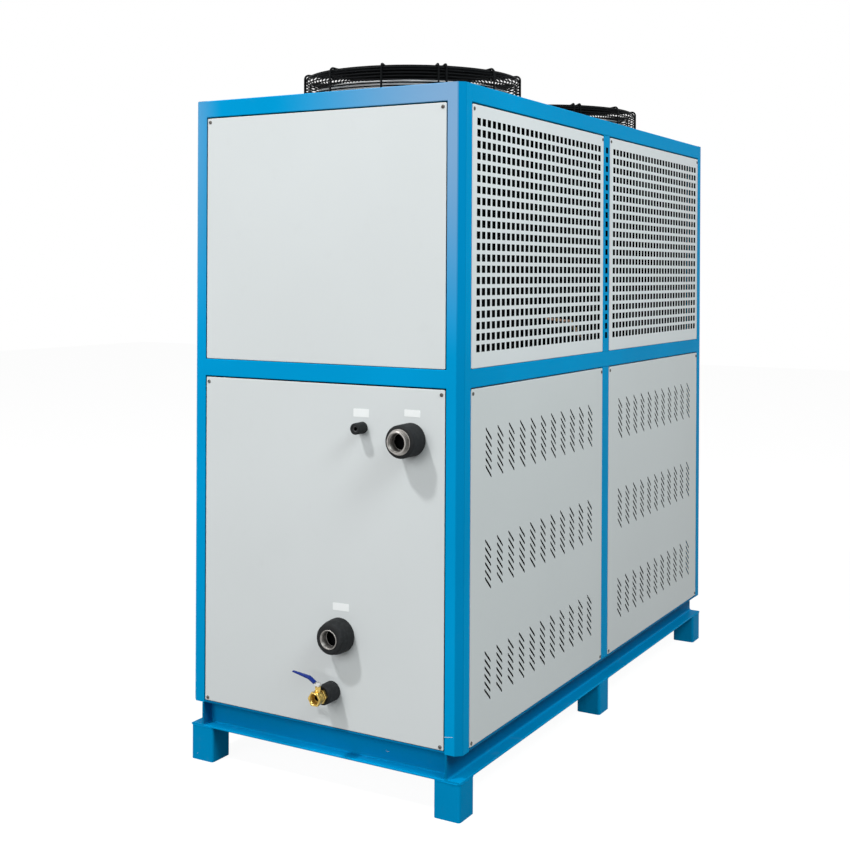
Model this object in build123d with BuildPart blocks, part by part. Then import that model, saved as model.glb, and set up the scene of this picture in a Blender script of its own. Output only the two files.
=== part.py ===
from build123d import *
import os
from math import cos, radians, sin

os.makedirs("parts", exist_ok=True)

# Sizes in millimetres. Z points up, the pipe end faces -Y, the floor is Z = 0.

# Base: feet of square tube and members of rolled unequal angle
foot_size = 70.0
foot_wall = 4.0
foot_corner = 3.0
foot_height = 88.0
angle_height = 63.5
angle_foot = 40.0
angle_thickness = 5.0
angle_root = 7.0
angle_toe = 2.5
floor_thickness = 2.0
seat_clearance = 1.0

# Housing frame of folded sheet
frame_width = 790.0
frame_length = 1750.0
post_end_face = 41.0
post_side_face = 43.5
post_chamfer = 14.0
mid_post_width = 45.0
bottom_rail_height = 6.0
lower_bay_height = 836.0
mid_rail_height = 43.5
upper_bay_height = 620.0
top_rail_height = 43.0
frame_wall = 2.5
lip_width = 15.0
lip_thickness = 2.5
lip_clearance = 1.0
ledge_width = 20.0
ledge_thickness = 2.5

# Panels, folded as shallow trays that lie flush in the bays
panel_depth = 18.0
panel_wall = 1.5
panel_gap = 3.0
panel_foot_gap = 1.0
panel_edge_bevel = 1.2

# Square air holes of the upper side panels, merged into larger windows
grille_columns = 5
grille_rows = 4
grille_bar = 18.0
grille_margin_side = 26.0
grille_margin_top = 36.0
grille_margin_bottom = 40.0

# Column of square holes in the upper middle posts
post_hole = 17.0
post_hole_pitch = 106.1
post_hole_margin = 36.0

# Slanted air slots of the lower side panels, one window for each stack
slot_columns = 6
slot_column_pitch = 114.4
slot_window_width = 84.0
slot_window_height = 91.0
slot_window_drop = 29.0
slot_band_tops = (93.5, 358.5, 624.0)

# Top sheet, air collars, guards
top_sheet_thickness = 2.0
fan_spacing = 864.0
throat_radius = 254.0
throat_wall = 2.0
throat_height = 50.0
throat_sides = 48
guard_radius = 294.0
guard_height = 88.5
guard_wire = 4.0
guard_rib_wire = 5.0
guard_ring_sides = 24
guard_rib_count = 12
guard_first_rib = 15.0
guard_rib_bend = 14.0
guard_rib_rise = 5.0
guard_disc_radius = 62.0

# Fan motors and rotors
motor_radius = 58.0
motor_height = 20.0
motor_sides = 24
shaft_radius = 8.0
shaft_length = 34.0
shaft_clearance = 0.5
hub_radius = 66.0
hub_height = 62.0
hub_sides = 30
blade_seat = 2.0
hub_gap = 6.0
blade_count = 5
blade_tip_gap = 6.0
blade_chord = 152.0
blade_pitch = 27.0
blade_camber = 12.0
blade_thickness = 3.0
blade_root_width = 74.0
blade_tip_width = 132.0
blade_sweep = 22.0
blade_drop = 36.0

# Finned heat exchangers behind the upper side panels
coil_depth = 60.0
coil_foot = 26.0
coil_head = 14.0
coil_end_gap = 6.0
coil_end_plate = 3.0
coil_fin_inset = 4.0

# Pipe ends on the lower panel of the pipe end: place across and above the floor
outlet_x = 260.7
outlet_z = 870.5
outlet_foam_radius = 39.0
outlet_foam_length = 56.0
outlet_pipe_radius = 22.0
outlet_nut_radius = 28.0
outlet_nut_length = 7.0
outlet_ring_radius = 22.5
outlet_ring_length = 5.0
outlet_bore_radius = 18.5
inlet_x = 64.0
inlet_z = 385.0
inlet_foam_radius = 42.0
inlet_foam_front_radius = 36.0
inlet_foam_length = 49.0
inlet_ring_radius = 23.5
inlet_ring_stand = 2.0
inlet_bore_radius = 19.5
overflow_x = 126.4
overflow_z = 889.9
overflow_foam_radius = 14.0
overflow_foam_length = 36.0
overflow_tube_radius = 7.0
overflow_tube_wall = 2.0
overflow_tube_recess = 3.0
drain_x = 42.0
drain_z = 246.6
drain_foam_radius = 24.0
drain_foam_length = 44.0
foam_edge = 4.0
pipe_hole_clearance = 1.0
pipe_sides = 12
back_nut_overlap = 8.0
back_nut_length = 8.0
bore_stop_depth = 30.0

# Ball valve on the drain, its mouth pointing away from the housing
valve_pipe_radius = 12.0
valve_hex_radius = 16.5
valve_hex_length = 9.0
valve_body_radius = 15.0
valve_body_length = 14.0
valve_mouth_radius = 17.0
valve_mouth_length = 11.0
valve_bore_radius = 11.5
valve_bore_depth = 9.0
valve_neck_radius = 7.0
valve_neck_height = 27.0
valve_neck_length = 15.0
stem_radius = 4.0
stem_clearance = 0.3
stem_nut_radius = 6.5
stem_nut_height = 5.0
lever_length = 78.0
lever_width = 13.0
lever_thickness = 4.0
lever_flat = 10.0
lever_bend_run = 14.0
lever_rise = 13.0
lever_lift = 1.0

# Places worked out from the sizes above
base_top = foot_height + angle_height
lower_bay_bottom = base_top + bottom_rail_height
mid_rail_bottom = lower_bay_bottom + lower_bay_height
upper_bay_bottom = mid_rail_bottom + mid_rail_height
top_rail_bottom = upper_bay_bottom + upper_bay_height
frame_top = top_rail_bottom + top_rail_height
half_width = frame_width / 2
half_length = frame_length / 2
end_bay_half = half_width - post_end_face
side_bay_end = half_length - post_side_face
side_bay_start = mid_post_width / 2
side_bay_center = (side_bay_end + side_bay_start) / 2
side_bay_width = side_bay_end - side_bay_start
lower_bay = (lower_bay_bottom, lower_bay_height)
upper_bay = (upper_bay_bottom, upper_bay_height)
outlet_reach = outlet_foam_length + outlet_nut_length + outlet_ring_length
inlet_reach = inlet_foam_length + inlet_ring_stand
valve_reach = drain_foam_length + valve_hex_length + valve_body_length + valve_mouth_length
port_reach = max(outlet_reach, inlet_reach, valve_reach, overflow_foam_length)
center_y = port_reach / 2
front_y = center_y - half_length

# Planes of the plan and of the four sides; on a side, x runs along it and y points up
plan = Plane(origin=(0, center_y, 0))
middle_across = Plane(origin=(0, center_y, 0), x_dir=(1, 0, 0), z_dir=(0, 1, 0))
front_face = Plane(origin=(0, front_y, 0), x_dir=(1, 0, 0), z_dir=(0, -1, 0))
back_face = Plane(origin=(0, center_y + half_length, 0), x_dir=(-1, 0, 0), z_dir=(0, 1, 0))
right_face = Plane(origin=(half_width, center_y, 0), x_dir=(0, 1, 0), z_dir=(1, 0, 0))
left_face = Plane(origin=(-half_width, center_y, 0), x_dir=(0, -1, 0), z_dir=(-1, 0, 0))


def save(piece, name):
    """Names a finished piece and writes it to its file."""
    piece.part.label = name
    export_step(piece.part, f"parts/{name}.step")


# Rolled angle section: outer toe at x = 0, upright leg at the inner end, foot at y = 0
with BuildSketch() as angle_section:
    Rectangle(angle_foot, angle_thickness, align=(Align.MAX, Align.MIN))
    with Locations((-angle_foot, 0)):
        Rectangle(angle_thickness, angle_height, align=(Align.MIN, Align.MIN))
    inner_line = angle_section.vertices().filter_by_position(
        Axis.X, -angle_foot + angle_thickness - 0.1, -angle_foot + angle_thickness + 0.1
    )
    root_corner, leg_toe = inner_line.sort_by(Axis.Y)
    foot_toe = angle_section.vertices().group_by(Axis.X)[-1].sort_by(Axis.Y)[-1]
    fillet(root_corner, radius=angle_root)
    fillet((leg_toe, foot_toe), radius=angle_toe)

# Six feet of square tube under the long angles
foot_x = half_width - foot_size / 2
foot_y = half_length - foot_size / 2
with BuildPart() as feet:
    with BuildSketch(plan) as foot_section:
        with GridLocations(2 * foot_x, foot_y, 2, 3):
            Rectangle(foot_size, foot_size)
        chamfer(foot_section.vertices(), length=foot_corner)
        with GridLocations(2 * foot_x, foot_y, 2, 3):
            Rectangle(foot_size - 2 * foot_wall, foot_size - 2 * foot_wall, mode=Mode.SUBTRACT)
    extrude(amount=foot_height)
save(feet, "feet")

# Long angles with their feet outwards
for side, sign in (("right", 1), ("left", -1)):
    run = Plane(origin=(sign * half_width, center_y, foot_height), x_dir=(sign, 0, 0), z_dir=(0, -sign, 0))
    with BuildPart() as side_member:
        with BuildSketch(run):
            add(angle_section.sketch)
        extrude(amount=half_length, both=True)
    save(side_member, f"base_member_{side}")

# End angles between the long ones, and a cross angle over the middle feet
end_member_half = half_width - angle_foot
with BuildPart() as end_members:
    for sign in (-1, 1):
        run = Plane(
            origin=(0, center_y + sign * half_length, foot_height), x_dir=(0, sign, 0), z_dir=(sign, 0, 0)
        )
        with BuildSketch(run):
            add(angle_section.sketch)
        extrude(amount=end_member_half, both=True)
save(end_members, "base_end_members")

with BuildPart() as cross_member:
    run = Plane(origin=(0, center_y + angle_foot / 2, foot_height), x_dir=(0, 1, 0), z_dir=(1, 0, 0))
    with BuildSketch(run):
        add(angle_section.sketch)
    extrude(amount=end_member_half, both=True)
save(cross_member, "base_cross_member")

# Floor sheet on the ledges of the bottom rails
with BuildPart() as floor_sheet:
    with BuildSketch(plan.offset(base_top + ledge_thickness)):
        Rectangle(2 * (end_bay_half - seat_clearance), 2 * (side_bay_end - seat_clearance))
    extrude(amount=floor_thickness)
save(floor_sheet, "floor_sheet")

# Corner posts: chamfered tubes with a lip behind each panel edge
post_center = (half_width - post_end_face / 2, -(half_length - post_side_face / 2))
with BuildPart() as corner_posts:
    with BuildSketch(plan.offset(base_top)) as post_section:
        with Locations(post_center):
            Rectangle(post_end_face, post_side_face)
        chamfer(post_section.vertices().sort_by(lambda v: v.X - v.Y)[-1], length=post_chamfer)
        offset(amount=-frame_wall, kind=Kind.INTERSECTION, mode=Mode.SUBTRACT)
    extrude(amount=frame_top - base_top)
    for bay_bottom, bay_height in (lower_bay, upper_bay):
        with BuildSketch(plan.offset(bay_bottom)):
            with Locations((end_bay_half, -half_length + panel_depth)):
                Rectangle(lip_width, lip_thickness, align=(Align.MAX, Align.MIN))
            with Locations((half_width - panel_depth, -side_bay_end)):
                Rectangle(lip_thickness, lip_width, align=(Align.MAX, Align.MIN))
        extrude(amount=bay_height)
    mirror(about=Plane.YZ)
    mirror(about=middle_across)
save(corner_posts, "corner_posts")

# Middle posts of the long sides; the upper ones carry a column of square holes
hole_run = upper_bay_height - 2 * post_hole_margin
hole_count = int(hole_run / post_hole_pitch) + 1
with BuildPart() as mid_posts:
    for bay_bottom, bay_height in (lower_bay, upper_bay):
        with BuildSketch(plan.offset(bay_bottom)) as section:
            with Locations((half_width, 0)):
                Rectangle(post_end_face, mid_post_width, align=(Align.MAX, Align.CENTER))
                offset(amount=-frame_wall, kind=Kind.INTERSECTION, mode=Mode.SUBTRACT)
            with Locations((half_width - panel_depth, 0)):
                for lip_sign, lip_align in ((1, Align.MIN), (-1, Align.MAX)):
                    with Locations((0, lip_sign * side_bay_start)):
                        Rectangle(lip_thickness, lip_width, align=(Align.MAX, lip_align))
        extrude(amount=bay_height)
    with BuildSketch(right_face):
        with Locations((0, upper_bay_bottom + upper_bay_height / 2)):
            with GridLocations(0, post_hole_pitch, 1, hole_count):
                Rectangle(post_hole, post_hole)
    extrude(amount=-2 * frame_wall, mode=Mode.SUBTRACT)
    mirror(about=Plane.YZ)
save(mid_posts, "mid_posts")


def rails(name, bottom, height, lip_up, lip_down, ledge_top=None):
    """Four rails between the posts, with lips for the panel edges above or below."""
    lip_bands = []
    if lip_up:
        lip_bands.append((bottom + height, lip_width))
    if lip_down:
        lip_bands.append((bottom - lip_width, lip_width))
    with BuildPart() as ring:
        for face, half_run, depth, lip_runs in (
            (front_face, end_bay_half, post_side_face, [(0, 2 * end_bay_half)]),
            (right_face, side_bay_end, post_end_face,
             [(side_bay_center, side_bay_width), (-side_bay_center, side_bay_width)]),
        ):
            with BuildSketch(face):
                with Locations((0, bottom + height / 2)):
                    Rectangle(2 * half_run, height)
            extrude(amount=-depth)
            with BuildSketch(face.offset(-frame_wall)):
                with Locations((0, bottom + height / 2)):
                    Rectangle(2 * half_run, height - 2 * frame_wall)
            extrude(amount=-(depth - 2 * frame_wall), mode=Mode.SUBTRACT)
            with BuildSketch(face.offset(-panel_depth)):
                for lip_bottom, lip_height in lip_bands:
                    for lip_center, run_width in lip_runs:
                        with Locations((lip_center, lip_bottom)):
                            Rectangle(
                                run_width - 2 * (lip_width + lip_clearance),
                                lip_height,
                                align=(Align.CENTER, Align.MIN),
                            )
            extrude(amount=-lip_thickness)
        if ledge_top is not None:
            with BuildSketch(plan.offset(ledge_top)):
                with Locations((end_bay_half, 0)):
                    Rectangle(
                        ledge_width, 2 * (side_bay_end - seat_clearance), align=(Align.MAX, Align.CENTER)
                    )
            extrude(amount=-ledge_thickness)
        mirror(about=Plane.YZ)
        mirror(about=middle_across)
    save(ring, name)


rails("bottom_rails", base_top, bottom_rail_height, True, False, base_top + ledge_thickness)
rails("mid_rails", mid_rail_bottom, mid_rail_height, True, True)
rails("top_rails", top_rail_bottom, top_rail_height, False, True, frame_top - top_sheet_thickness)


def tray(face, bay_center, bay_width, bay):
    """A folded panel that fills a bay, open towards the inside."""
    bay_bottom, bay_height = bay
    width = bay_width - 2 * panel_gap
    height = bay_height - panel_gap - panel_foot_gap
    middle = (bay_center, bay_bottom + panel_foot_gap + height / 2)
    with BuildPart() as panel:
        with BuildSketch(face.offset(-panel_depth)):
            with Locations(middle):
                Rectangle(width, height)
        extrude(amount=panel_depth)
        rim = panel.faces().filter_by(lambda f: f.normal_at().dot(face.z_dir) > 0.9)[0]
        chamfer(rim.edges(), length=panel_edge_bevel)
        with BuildSketch(face.offset(-panel_depth)):
            with Locations(middle):
                Rectangle(width - 2 * panel_wall, height - 2 * panel_wall)
        extrude(amount=panel_depth - panel_wall, mode=Mode.SUBTRACT)
    return panel.part


# Plain end panels; the lower one at the front lets four pipes through
ports = {
    "outlet": (outlet_x, outlet_z, outlet_pipe_radius),
    "inlet": (inlet_x, inlet_z, inlet_ring_radius),
    "overflow": (overflow_x, overflow_z, overflow_tube_radius),
    "drain": (drain_x, drain_z, valve_pipe_radius),
}
for end, face in (("front", front_face), ("back", back_face)):
    with BuildPart() as upper_panel:
        add(tray(face, 0, 2 * end_bay_half, upper_bay))
    save(upper_panel, f"end_panel_upper_{end}")
    with BuildPart() as lower_panel:
        add(tray(face, 0, 2 * end_bay_half, lower_bay))
        if end == "front":
            with BuildSketch(face):
                for port_x, port_z, pipe_radius in ports.values():
                    hole_radius = pipe_radius + pipe_hole_clearance
                    with Locations((port_x, port_z)):
                        RegularPolygon(hole_radius, pipe_sides, major_radius=False)
            extrude(amount=-2 * panel_wall, mode=Mode.SUBTRACT)
    save(lower_panel, f"end_panel_lower_{end}")

# Side panels: windows of square holes above, stacks of slanted slots below
panel_width = side_bay_width - 2 * panel_gap
grille_width = panel_width - 2 * grille_margin_side
grille_height = upper_bay_height - grille_margin_top - grille_margin_bottom
grille_pitch_x = grille_width / grille_columns
grille_pitch_z = grille_height / grille_rows
grille_center_z = upper_bay_bottom + grille_margin_bottom + grille_height / 2
for side, face in (("right", right_face), ("left", left_face)):
    for row, bay_sign in (("a", -1), ("b", 1)):
        bay_center = bay_sign * side_bay_center
        with BuildPart() as grille:
            add(tray(face, bay_center, side_bay_width, upper_bay))
            with BuildSketch(face):
                with Locations((bay_center, grille_center_z)):
                    with GridLocations(grille_pitch_x, grille_pitch_z, grille_columns, grille_rows):
                        Rectangle(grille_pitch_x - grille_bar, grille_pitch_z - grille_bar)
            extrude(amount=-2 * panel_wall, mode=Mode.SUBTRACT)
        save(grille, f"grille_panel_{side}_{row}")

        with BuildPart() as louvred:
            add(tray(face, bay_center, side_bay_width, lower_bay))
            for band_top in slot_band_tops:
                top = mid_rail_bottom - band_top
                with BuildSketch(face):
                    with Locations((bay_center, top)):
                        with GridLocations(slot_column_pitch, 0, slot_columns, 1):
                            Polygon(
                                (-slot_window_width / 2, 0),
                                (slot_window_width / 2, -slot_window_drop),
                                (slot_window_width / 2, -slot_window_drop - slot_window_height),
                                (-slot_window_width / 2, -slot_window_height),
                                align=None,
                            )
                extrude(amount=-2 * panel_wall, mode=Mode.SUBTRACT)
        save(louvred, f"slotted_panel_{side}_{row}")

# Top sheet on the ledges, with an air hole for each fan
with BuildPart() as top_sheet:
    with BuildSketch(plan.offset(frame_top)):
        Rectangle(2 * (end_bay_half - seat_clearance), 2 * (side_bay_end - seat_clearance))
        with GridLocations(0, fan_spacing, 1, 2):
            RegularPolygon(throat_radius, throat_sides, mode=Mode.SUBTRACT)
    extrude(amount=-top_sheet_thickness)
save(top_sheet, "top_sheet")

# Air collars on the top sheet
fan_centers = (
    Plane(origin=(0, center_y - fan_spacing / 2, 0)),
    Plane(origin=(0, center_y + fan_spacing / 2, 0)),
)
with BuildPart() as air_collars:
    for axis in fan_centers:
        with BuildSketch(axis.offset(frame_top)):
            RegularPolygon(throat_radius + throat_wall, throat_sides)
            RegularPolygon(throat_radius, throat_sides, mode=Mode.SUBTRACT)
        extrude(amount=throat_height)
save(air_collars, "air_collars")

# Wire guards: bent ribs over a foot ring, a shoulder ring and a middle disc
guard_top = frame_top + guard_height
guard_rings = (
    (guard_radius - guard_rib_wire / 2, frame_top),
    (guard_radius - guard_rib_bend, guard_top - guard_wire - guard_rib_rise),
)
with BuildPart() as fan_guards:
    for axis in fan_centers:
        for ring_radius, ring_bottom in guard_rings:
            with BuildSketch(axis.offset(ring_bottom)):
                RegularPolygon(ring_radius, guard_ring_sides)
                RegularPolygon(ring_radius - guard_wire, guard_ring_sides, mode=Mode.SUBTRACT)
            extrude(amount=guard_wire)
        with BuildSketch(axis.offset(guard_top - guard_wire - guard_rib_rise)):
            RegularPolygon(guard_disc_radius, guard_ring_sides)
        extrude(amount=guard_wire)
        for rib in range(guard_rib_count):
            rib_angle = radians(guard_first_rib + rib * 360 / guard_rib_count)
            rib_plane = Plane(
                origin=axis.origin,
                x_dir=(cos(rib_angle), sin(rib_angle), 0),
                z_dir=(sin(rib_angle), -cos(rib_angle), 0),
            )
            with BuildSketch(rib_plane):
                with BuildLine():
                    Polyline(
                        (guard_radius, frame_top),
                        (guard_radius, guard_top - guard_rib_bend),
                        (guard_radius - guard_rib_bend, guard_top),
                        (guard_disc_radius - guard_wire, guard_top - guard_rib_rise),
                        (guard_disc_radius - guard_wire, guard_top - guard_rib_rise - guard_rib_wire),
                        (guard_radius - guard_rib_bend - guard_rib_wire / 2, guard_top - guard_rib_wire),
                        (guard_radius - guard_rib_wire, guard_top - guard_rib_bend - guard_rib_wire / 2),
                        (guard_radius - guard_rib_wire, frame_top),
                        close=True,
                    )
                make_face()
            extrude(amount=guard_rib_wire / 2, both=True)
save(fan_guards, "fan_guards")

# Motors under the guards' discs, each with a plain shaft for its rotor
motor_top = guard_top - guard_wire - guard_rib_rise
motor_bottom = motor_top - motor_height
hub_top = motor_bottom - hub_gap
with BuildPart() as fan_motors:
    for axis in fan_centers:
        with BuildSketch(axis.offset(motor_top)):
            RegularPolygon(motor_radius, motor_sides)
        extrude(amount=-motor_height)
        with BuildSketch(axis.offset(motor_bottom)):
            Circle(shaft_radius)
        extrude(amount=-shaft_length)
save(fan_motors, "fan_motors")

# Rotors: a hub and pitched blades, bent twice from sheet, with a swept outline
tip_radius = throat_radius - blade_tip_gap
half_rise = blade_chord / 2 * sin(radians(blade_pitch))
half_run = blade_chord / 2 * cos(radians(blade_pitch))
normal = Vector(-sin(radians(blade_pitch)), cos(radians(blade_pitch)))
trailing = Vector(-half_run, -half_rise)
leading = Vector(half_run, half_rise)
crown = normal * blade_camber
lower_line = [trailing, trailing / 3 + crown, leading / 3 + crown, leading]
upper_line = [point + normal * blade_thickness for point in lower_line]
for end, axis in zip(("front", "back"), fan_centers):
    blade_center = axis.origin + Vector(0, 0, hub_top - blade_drop)
    with BuildPart() as blade:
        with BuildSketch(Plane(origin=blade_center, x_dir=(0, 1, 0), z_dir=(1, 0, 0))):
            with BuildLine():
                Polyline(*lower_line, *upper_line[::-1], close=True)
            make_face()
        extrude(amount=tip_radius)
        with BuildSketch(axis.offset(hub_top - hub_height - blade_chord)):
            Polygon(
                (0, -blade_root_width / 2),
                (0, blade_root_width / 2),
                (tip_radius, blade_tip_width / 2 - blade_sweep / 2),
                (tip_radius, -blade_tip_width / 2 - blade_sweep / 2),
                align=None,
            )
            Circle(tip_radius, mode=Mode.INTERSECT)
            Circle(hub_radius - blade_seat, mode=Mode.SUBTRACT)
        extrude(amount=2 * blade_chord + hub_height, mode=Mode.INTERSECT)
    with BuildPart() as rotor:
        with BuildSketch(axis.offset(hub_top)):
            RegularPolygon(hub_radius, hub_sides)
            Circle(shaft_radius + shaft_clearance, mode=Mode.SUBTRACT)
        extrude(amount=-hub_height)
        for turn in range(blade_count):
            add(blade.part.rotate(Axis(axis.origin, (0, 0, 1)), turn * 360 / blade_count))
    save(rotor, f"fan_rotor_{end}")

# Finned blocks behind the upper side panels, held on the inner faces of the frame
coil_half = side_bay_end - coil_end_gap
coil_bottom = upper_bay_bottom - coil_foot
coil_top = top_rail_bottom + coil_head
for side, sign in (("right", 1), ("left", -1)):
    with BuildPart() as coil:
        with BuildSketch(plan.offset(coil_bottom + coil_end_plate)):
            with Locations((sign * (end_bay_half - coil_depth / 2), 0)):
                Rectangle(coil_depth - 2 * coil_fin_inset, 2 * (coil_half - coil_end_plate))
        extrude(amount=coil_top - coil_bottom - 2 * coil_end_plate)
        for end_sign in (-1, 1):
            with BuildSketch(plan.offset(coil_bottom)):
                with Locations(
                    (sign * (end_bay_half - coil_depth / 2), end_sign * (coil_half - coil_end_plate / 2))
                ):
                    Rectangle(coil_depth, coil_end_plate)
            extrude(amount=coil_top - coil_bottom)
        for plate_bottom in (coil_bottom, coil_top - coil_end_plate):
            with BuildSketch(plan.offset(plate_bottom)):
                with Locations((sign * (end_bay_half - coil_depth / 2), 0)):
                    Rectangle(coil_depth, 2 * (coil_half - coil_end_plate))
            extrude(amount=coil_end_plate)
    save(coil, f"condenser_coil_{side}")


def port_plane(port_x, port_z, reach):
    """A plane across a port at the given distance in front of the panel."""
    return front_face.offset(reach).shift_origin(front_face.from_local_coords(Vector(port_x, port_z, reach)))


def turned(port_x, port_z, start, steps, bore_radius, bore_depth):
    """A turned pipe end, bored from its mouth. Each step has a radius, a length and
    its number of flats, which is none where it is round."""
    with BuildPart() as piece:
        reach = start
        for radius, length, flats in steps:
            with BuildSketch(port_plane(port_x, port_z, reach)):
                if flats:
                    RegularPolygon(radius, flats)
                else:
                    Circle(radius)
            extrude(amount=length)
            reach += length
        with BuildSketch(port_plane(port_x, port_z, reach)):
            Circle(bore_radius)
        extrude(amount=-bore_depth, mode=Mode.SUBTRACT)
    return piece.part


# Each pipe starts with the nut that clamps it behind the panel
back_start = -panel_wall - back_nut_length


def back_nut(pipe_radius):
    """The nut behind the panel."""
    return (pipe_radius + back_nut_overlap, back_nut_length, 6)


# Water sockets of the outlet and the inlet, each bored up to a stop
outlet_steps = (
    back_nut(outlet_pipe_radius),
    (outlet_pipe_radius, panel_wall + outlet_foam_length, pipe_sides),
    (outlet_nut_radius, outlet_nut_length, 0),
    (outlet_ring_radius, outlet_ring_length, 0),
)
inlet_steps = (
    back_nut(inlet_ring_radius),
    (inlet_ring_radius, panel_wall + inlet_foam_length, pipe_sides),
    (inlet_ring_radius, inlet_ring_stand, 0),
)
with BuildPart() as pipe_sockets:
    add(turned(outlet_x, outlet_z, back_start, outlet_steps, outlet_bore_radius, bore_stop_depth))
    add(turned(inlet_x, inlet_z, back_start, inlet_steps, inlet_bore_radius, bore_stop_depth))
save(pipe_sockets, "pipe_sockets")

# Overflow tube, its end a little inside its sleeve
overflow_reach = overflow_foam_length - overflow_tube_recess
overflow_steps = (
    back_nut(overflow_tube_radius),
    (overflow_tube_radius, panel_wall + overflow_reach, pipe_sides),
)
overflow_bore_radius = overflow_tube_radius - overflow_tube_wall
with BuildPart() as overflow_tube:
    add(turned(overflow_x, overflow_z, back_start, overflow_steps, overflow_bore_radius, overflow_reach))
save(overflow_tube, "overflow_tube")

# Foam sleeves that stand on the panel round the four pipes
sleeves = (
    (ports["outlet"], outlet_foam_radius, outlet_foam_radius, outlet_foam_length, foam_edge),
    (ports["inlet"], inlet_foam_radius, inlet_foam_front_radius, inlet_foam_length, foam_edge),
    (ports["overflow"], overflow_foam_radius, overflow_foam_radius, overflow_foam_length, 0),
    (ports["drain"], drain_foam_radius, drain_foam_radius, drain_foam_length, 0),
)
with BuildPart() as foam_sleeves:
    for port, back_radius, front_radius, length, edge in sleeves:
        port_x, port_z, pipe_radius = port
        body_length = length - edge
        rings = [(0, back_radius, body_length, front_radius)]
        if edge:
            rings.append((body_length, front_radius, edge, front_radius - edge))
        for start, start_radius, run, end_radius in rings:
            with BuildSketch(port_plane(port_x, port_z, start)):
                Circle(start_radius)
            with BuildSketch(port_plane(port_x, port_z, start + run)):
                Circle(end_radius)
            loft()
        with BuildSketch(port_plane(port_x, port_z, 0)):
            RegularPolygon(pipe_radius, pipe_sides)
        extrude(amount=length, mode=Mode.SUBTRACT)
save(foam_sleeves, "foam_sleeves")

# Drain valve: pipe, hexagon, round body and mouth, with a gland nut and a stem on top
neck_reach = drain_foam_length + valve_hex_length + valve_body_length / 2
neck_top = drain_z + valve_neck_height
valve_steps = (
    back_nut(valve_pipe_radius),
    (valve_pipe_radius, panel_wall + drain_foam_length, pipe_sides),
    (valve_hex_radius, valve_hex_length, 6),
    (valve_body_radius, valve_body_length, 0),
    (valve_mouth_radius, valve_mouth_length, 0),
)
with BuildPart() as drain_valve:
    add(turned(drain_x, drain_z, back_start, valve_steps, valve_bore_radius, valve_bore_depth))
    with BuildSketch(Plane(origin=(drain_x, front_y - neck_reach, neck_top - valve_neck_length))):
        RegularPolygon(valve_neck_radius, 6)
    extrude(amount=valve_neck_length)
    with BuildSketch(Plane(origin=(drain_x, front_y - neck_reach, neck_top))):
        Circle(stem_radius)
    extrude(amount=lever_lift + lever_thickness)
save(drain_valve, "drain_valve")

# Lever of the valve: a bent strip on the stem under a nut, shut across the pipe
lever_bottom = neck_top + lever_lift
lever_high = lever_bottom + lever_rise
bend_end = lever_flat + lever_bend_run
with BuildPart() as lever:
    with BuildSketch(Plane(origin=(drain_x, front_y - neck_reach, 0), x_dir=(-1, 0, 0), z_dir=(0, 1, 0))):
        with BuildLine():
            Polyline(
                (-lever_width / 2, lever_bottom),
                (lever_flat, lever_bottom),
                (bend_end, lever_high),
                (lever_length, lever_high),
                (lever_length, lever_high + lever_thickness),
                (bend_end - lever_thickness / 2, lever_high + lever_thickness),
                (lever_flat - lever_thickness / 2, lever_bottom + lever_thickness),
                (-lever_width / 2, lever_bottom + lever_thickness),
                close=True,
            )
        make_face()
    extrude(amount=lever_width / 2, both=True)
    with BuildSketch(Plane(origin=(drain_x, front_y - neck_reach, lever_bottom + lever_thickness))):
        RegularPolygon(stem_nut_radius, 6)
    extrude(amount=stem_nut_height)
    with BuildSketch(Plane(origin=(drain_x, front_y - neck_reach, lever_bottom))):
        Circle(stem_radius + stem_clearance)
    extrude(amount=lever_thickness + stem_clearance, mode=Mode.SUBTRACT)
save(lever, "drain_lever")
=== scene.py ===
"""The looks of an air-cooled water chiller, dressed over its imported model.

Sizes are millimetres up to the point where a mesh is written, which is in metres. Z points
up, the pipe end of the housing faces -Y and the photographed long side faces +X.
"""

import logging
import math
from dataclasses import dataclass, replace
from enum import Enum
from itertools import product
from typing import Optional, Sequence, Union

import bmesh
import bpy
import numpy as np
from mathutils import Matrix, Vector


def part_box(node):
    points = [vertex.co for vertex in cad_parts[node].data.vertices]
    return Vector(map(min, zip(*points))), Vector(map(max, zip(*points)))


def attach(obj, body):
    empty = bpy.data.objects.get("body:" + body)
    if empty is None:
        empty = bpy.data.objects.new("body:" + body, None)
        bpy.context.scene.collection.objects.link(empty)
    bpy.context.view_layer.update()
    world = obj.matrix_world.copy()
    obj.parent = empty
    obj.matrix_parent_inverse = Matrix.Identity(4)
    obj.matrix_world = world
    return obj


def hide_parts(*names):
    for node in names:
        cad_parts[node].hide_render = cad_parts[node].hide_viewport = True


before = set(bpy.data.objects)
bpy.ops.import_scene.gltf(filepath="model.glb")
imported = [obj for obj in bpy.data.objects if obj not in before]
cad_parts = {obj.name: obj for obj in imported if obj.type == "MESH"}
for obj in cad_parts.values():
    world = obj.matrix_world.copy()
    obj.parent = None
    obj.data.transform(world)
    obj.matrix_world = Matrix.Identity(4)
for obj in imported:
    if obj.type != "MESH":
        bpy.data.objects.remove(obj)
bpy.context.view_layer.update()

LOG = logging.getLogger("chiller")
MM = 0.001
CENTRE_Y = 39.0
HALF_WIDTH = 395.0
HALF_LENGTH = 875.0
CORNER_CUT = 14.0
UP = np.array((0.0, 0.0, 1.0))
OUT_OF_END = (0.0, -1.0, 0.0)
Pair = tuple[float, float]
Point = tuple[float, float, float]
Colour = tuple[float, float, float]
Spot = Sequence[float]
Line = Sequence[Spot]
Socket = bpy.types.NodeSocket


# Points and faces


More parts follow.
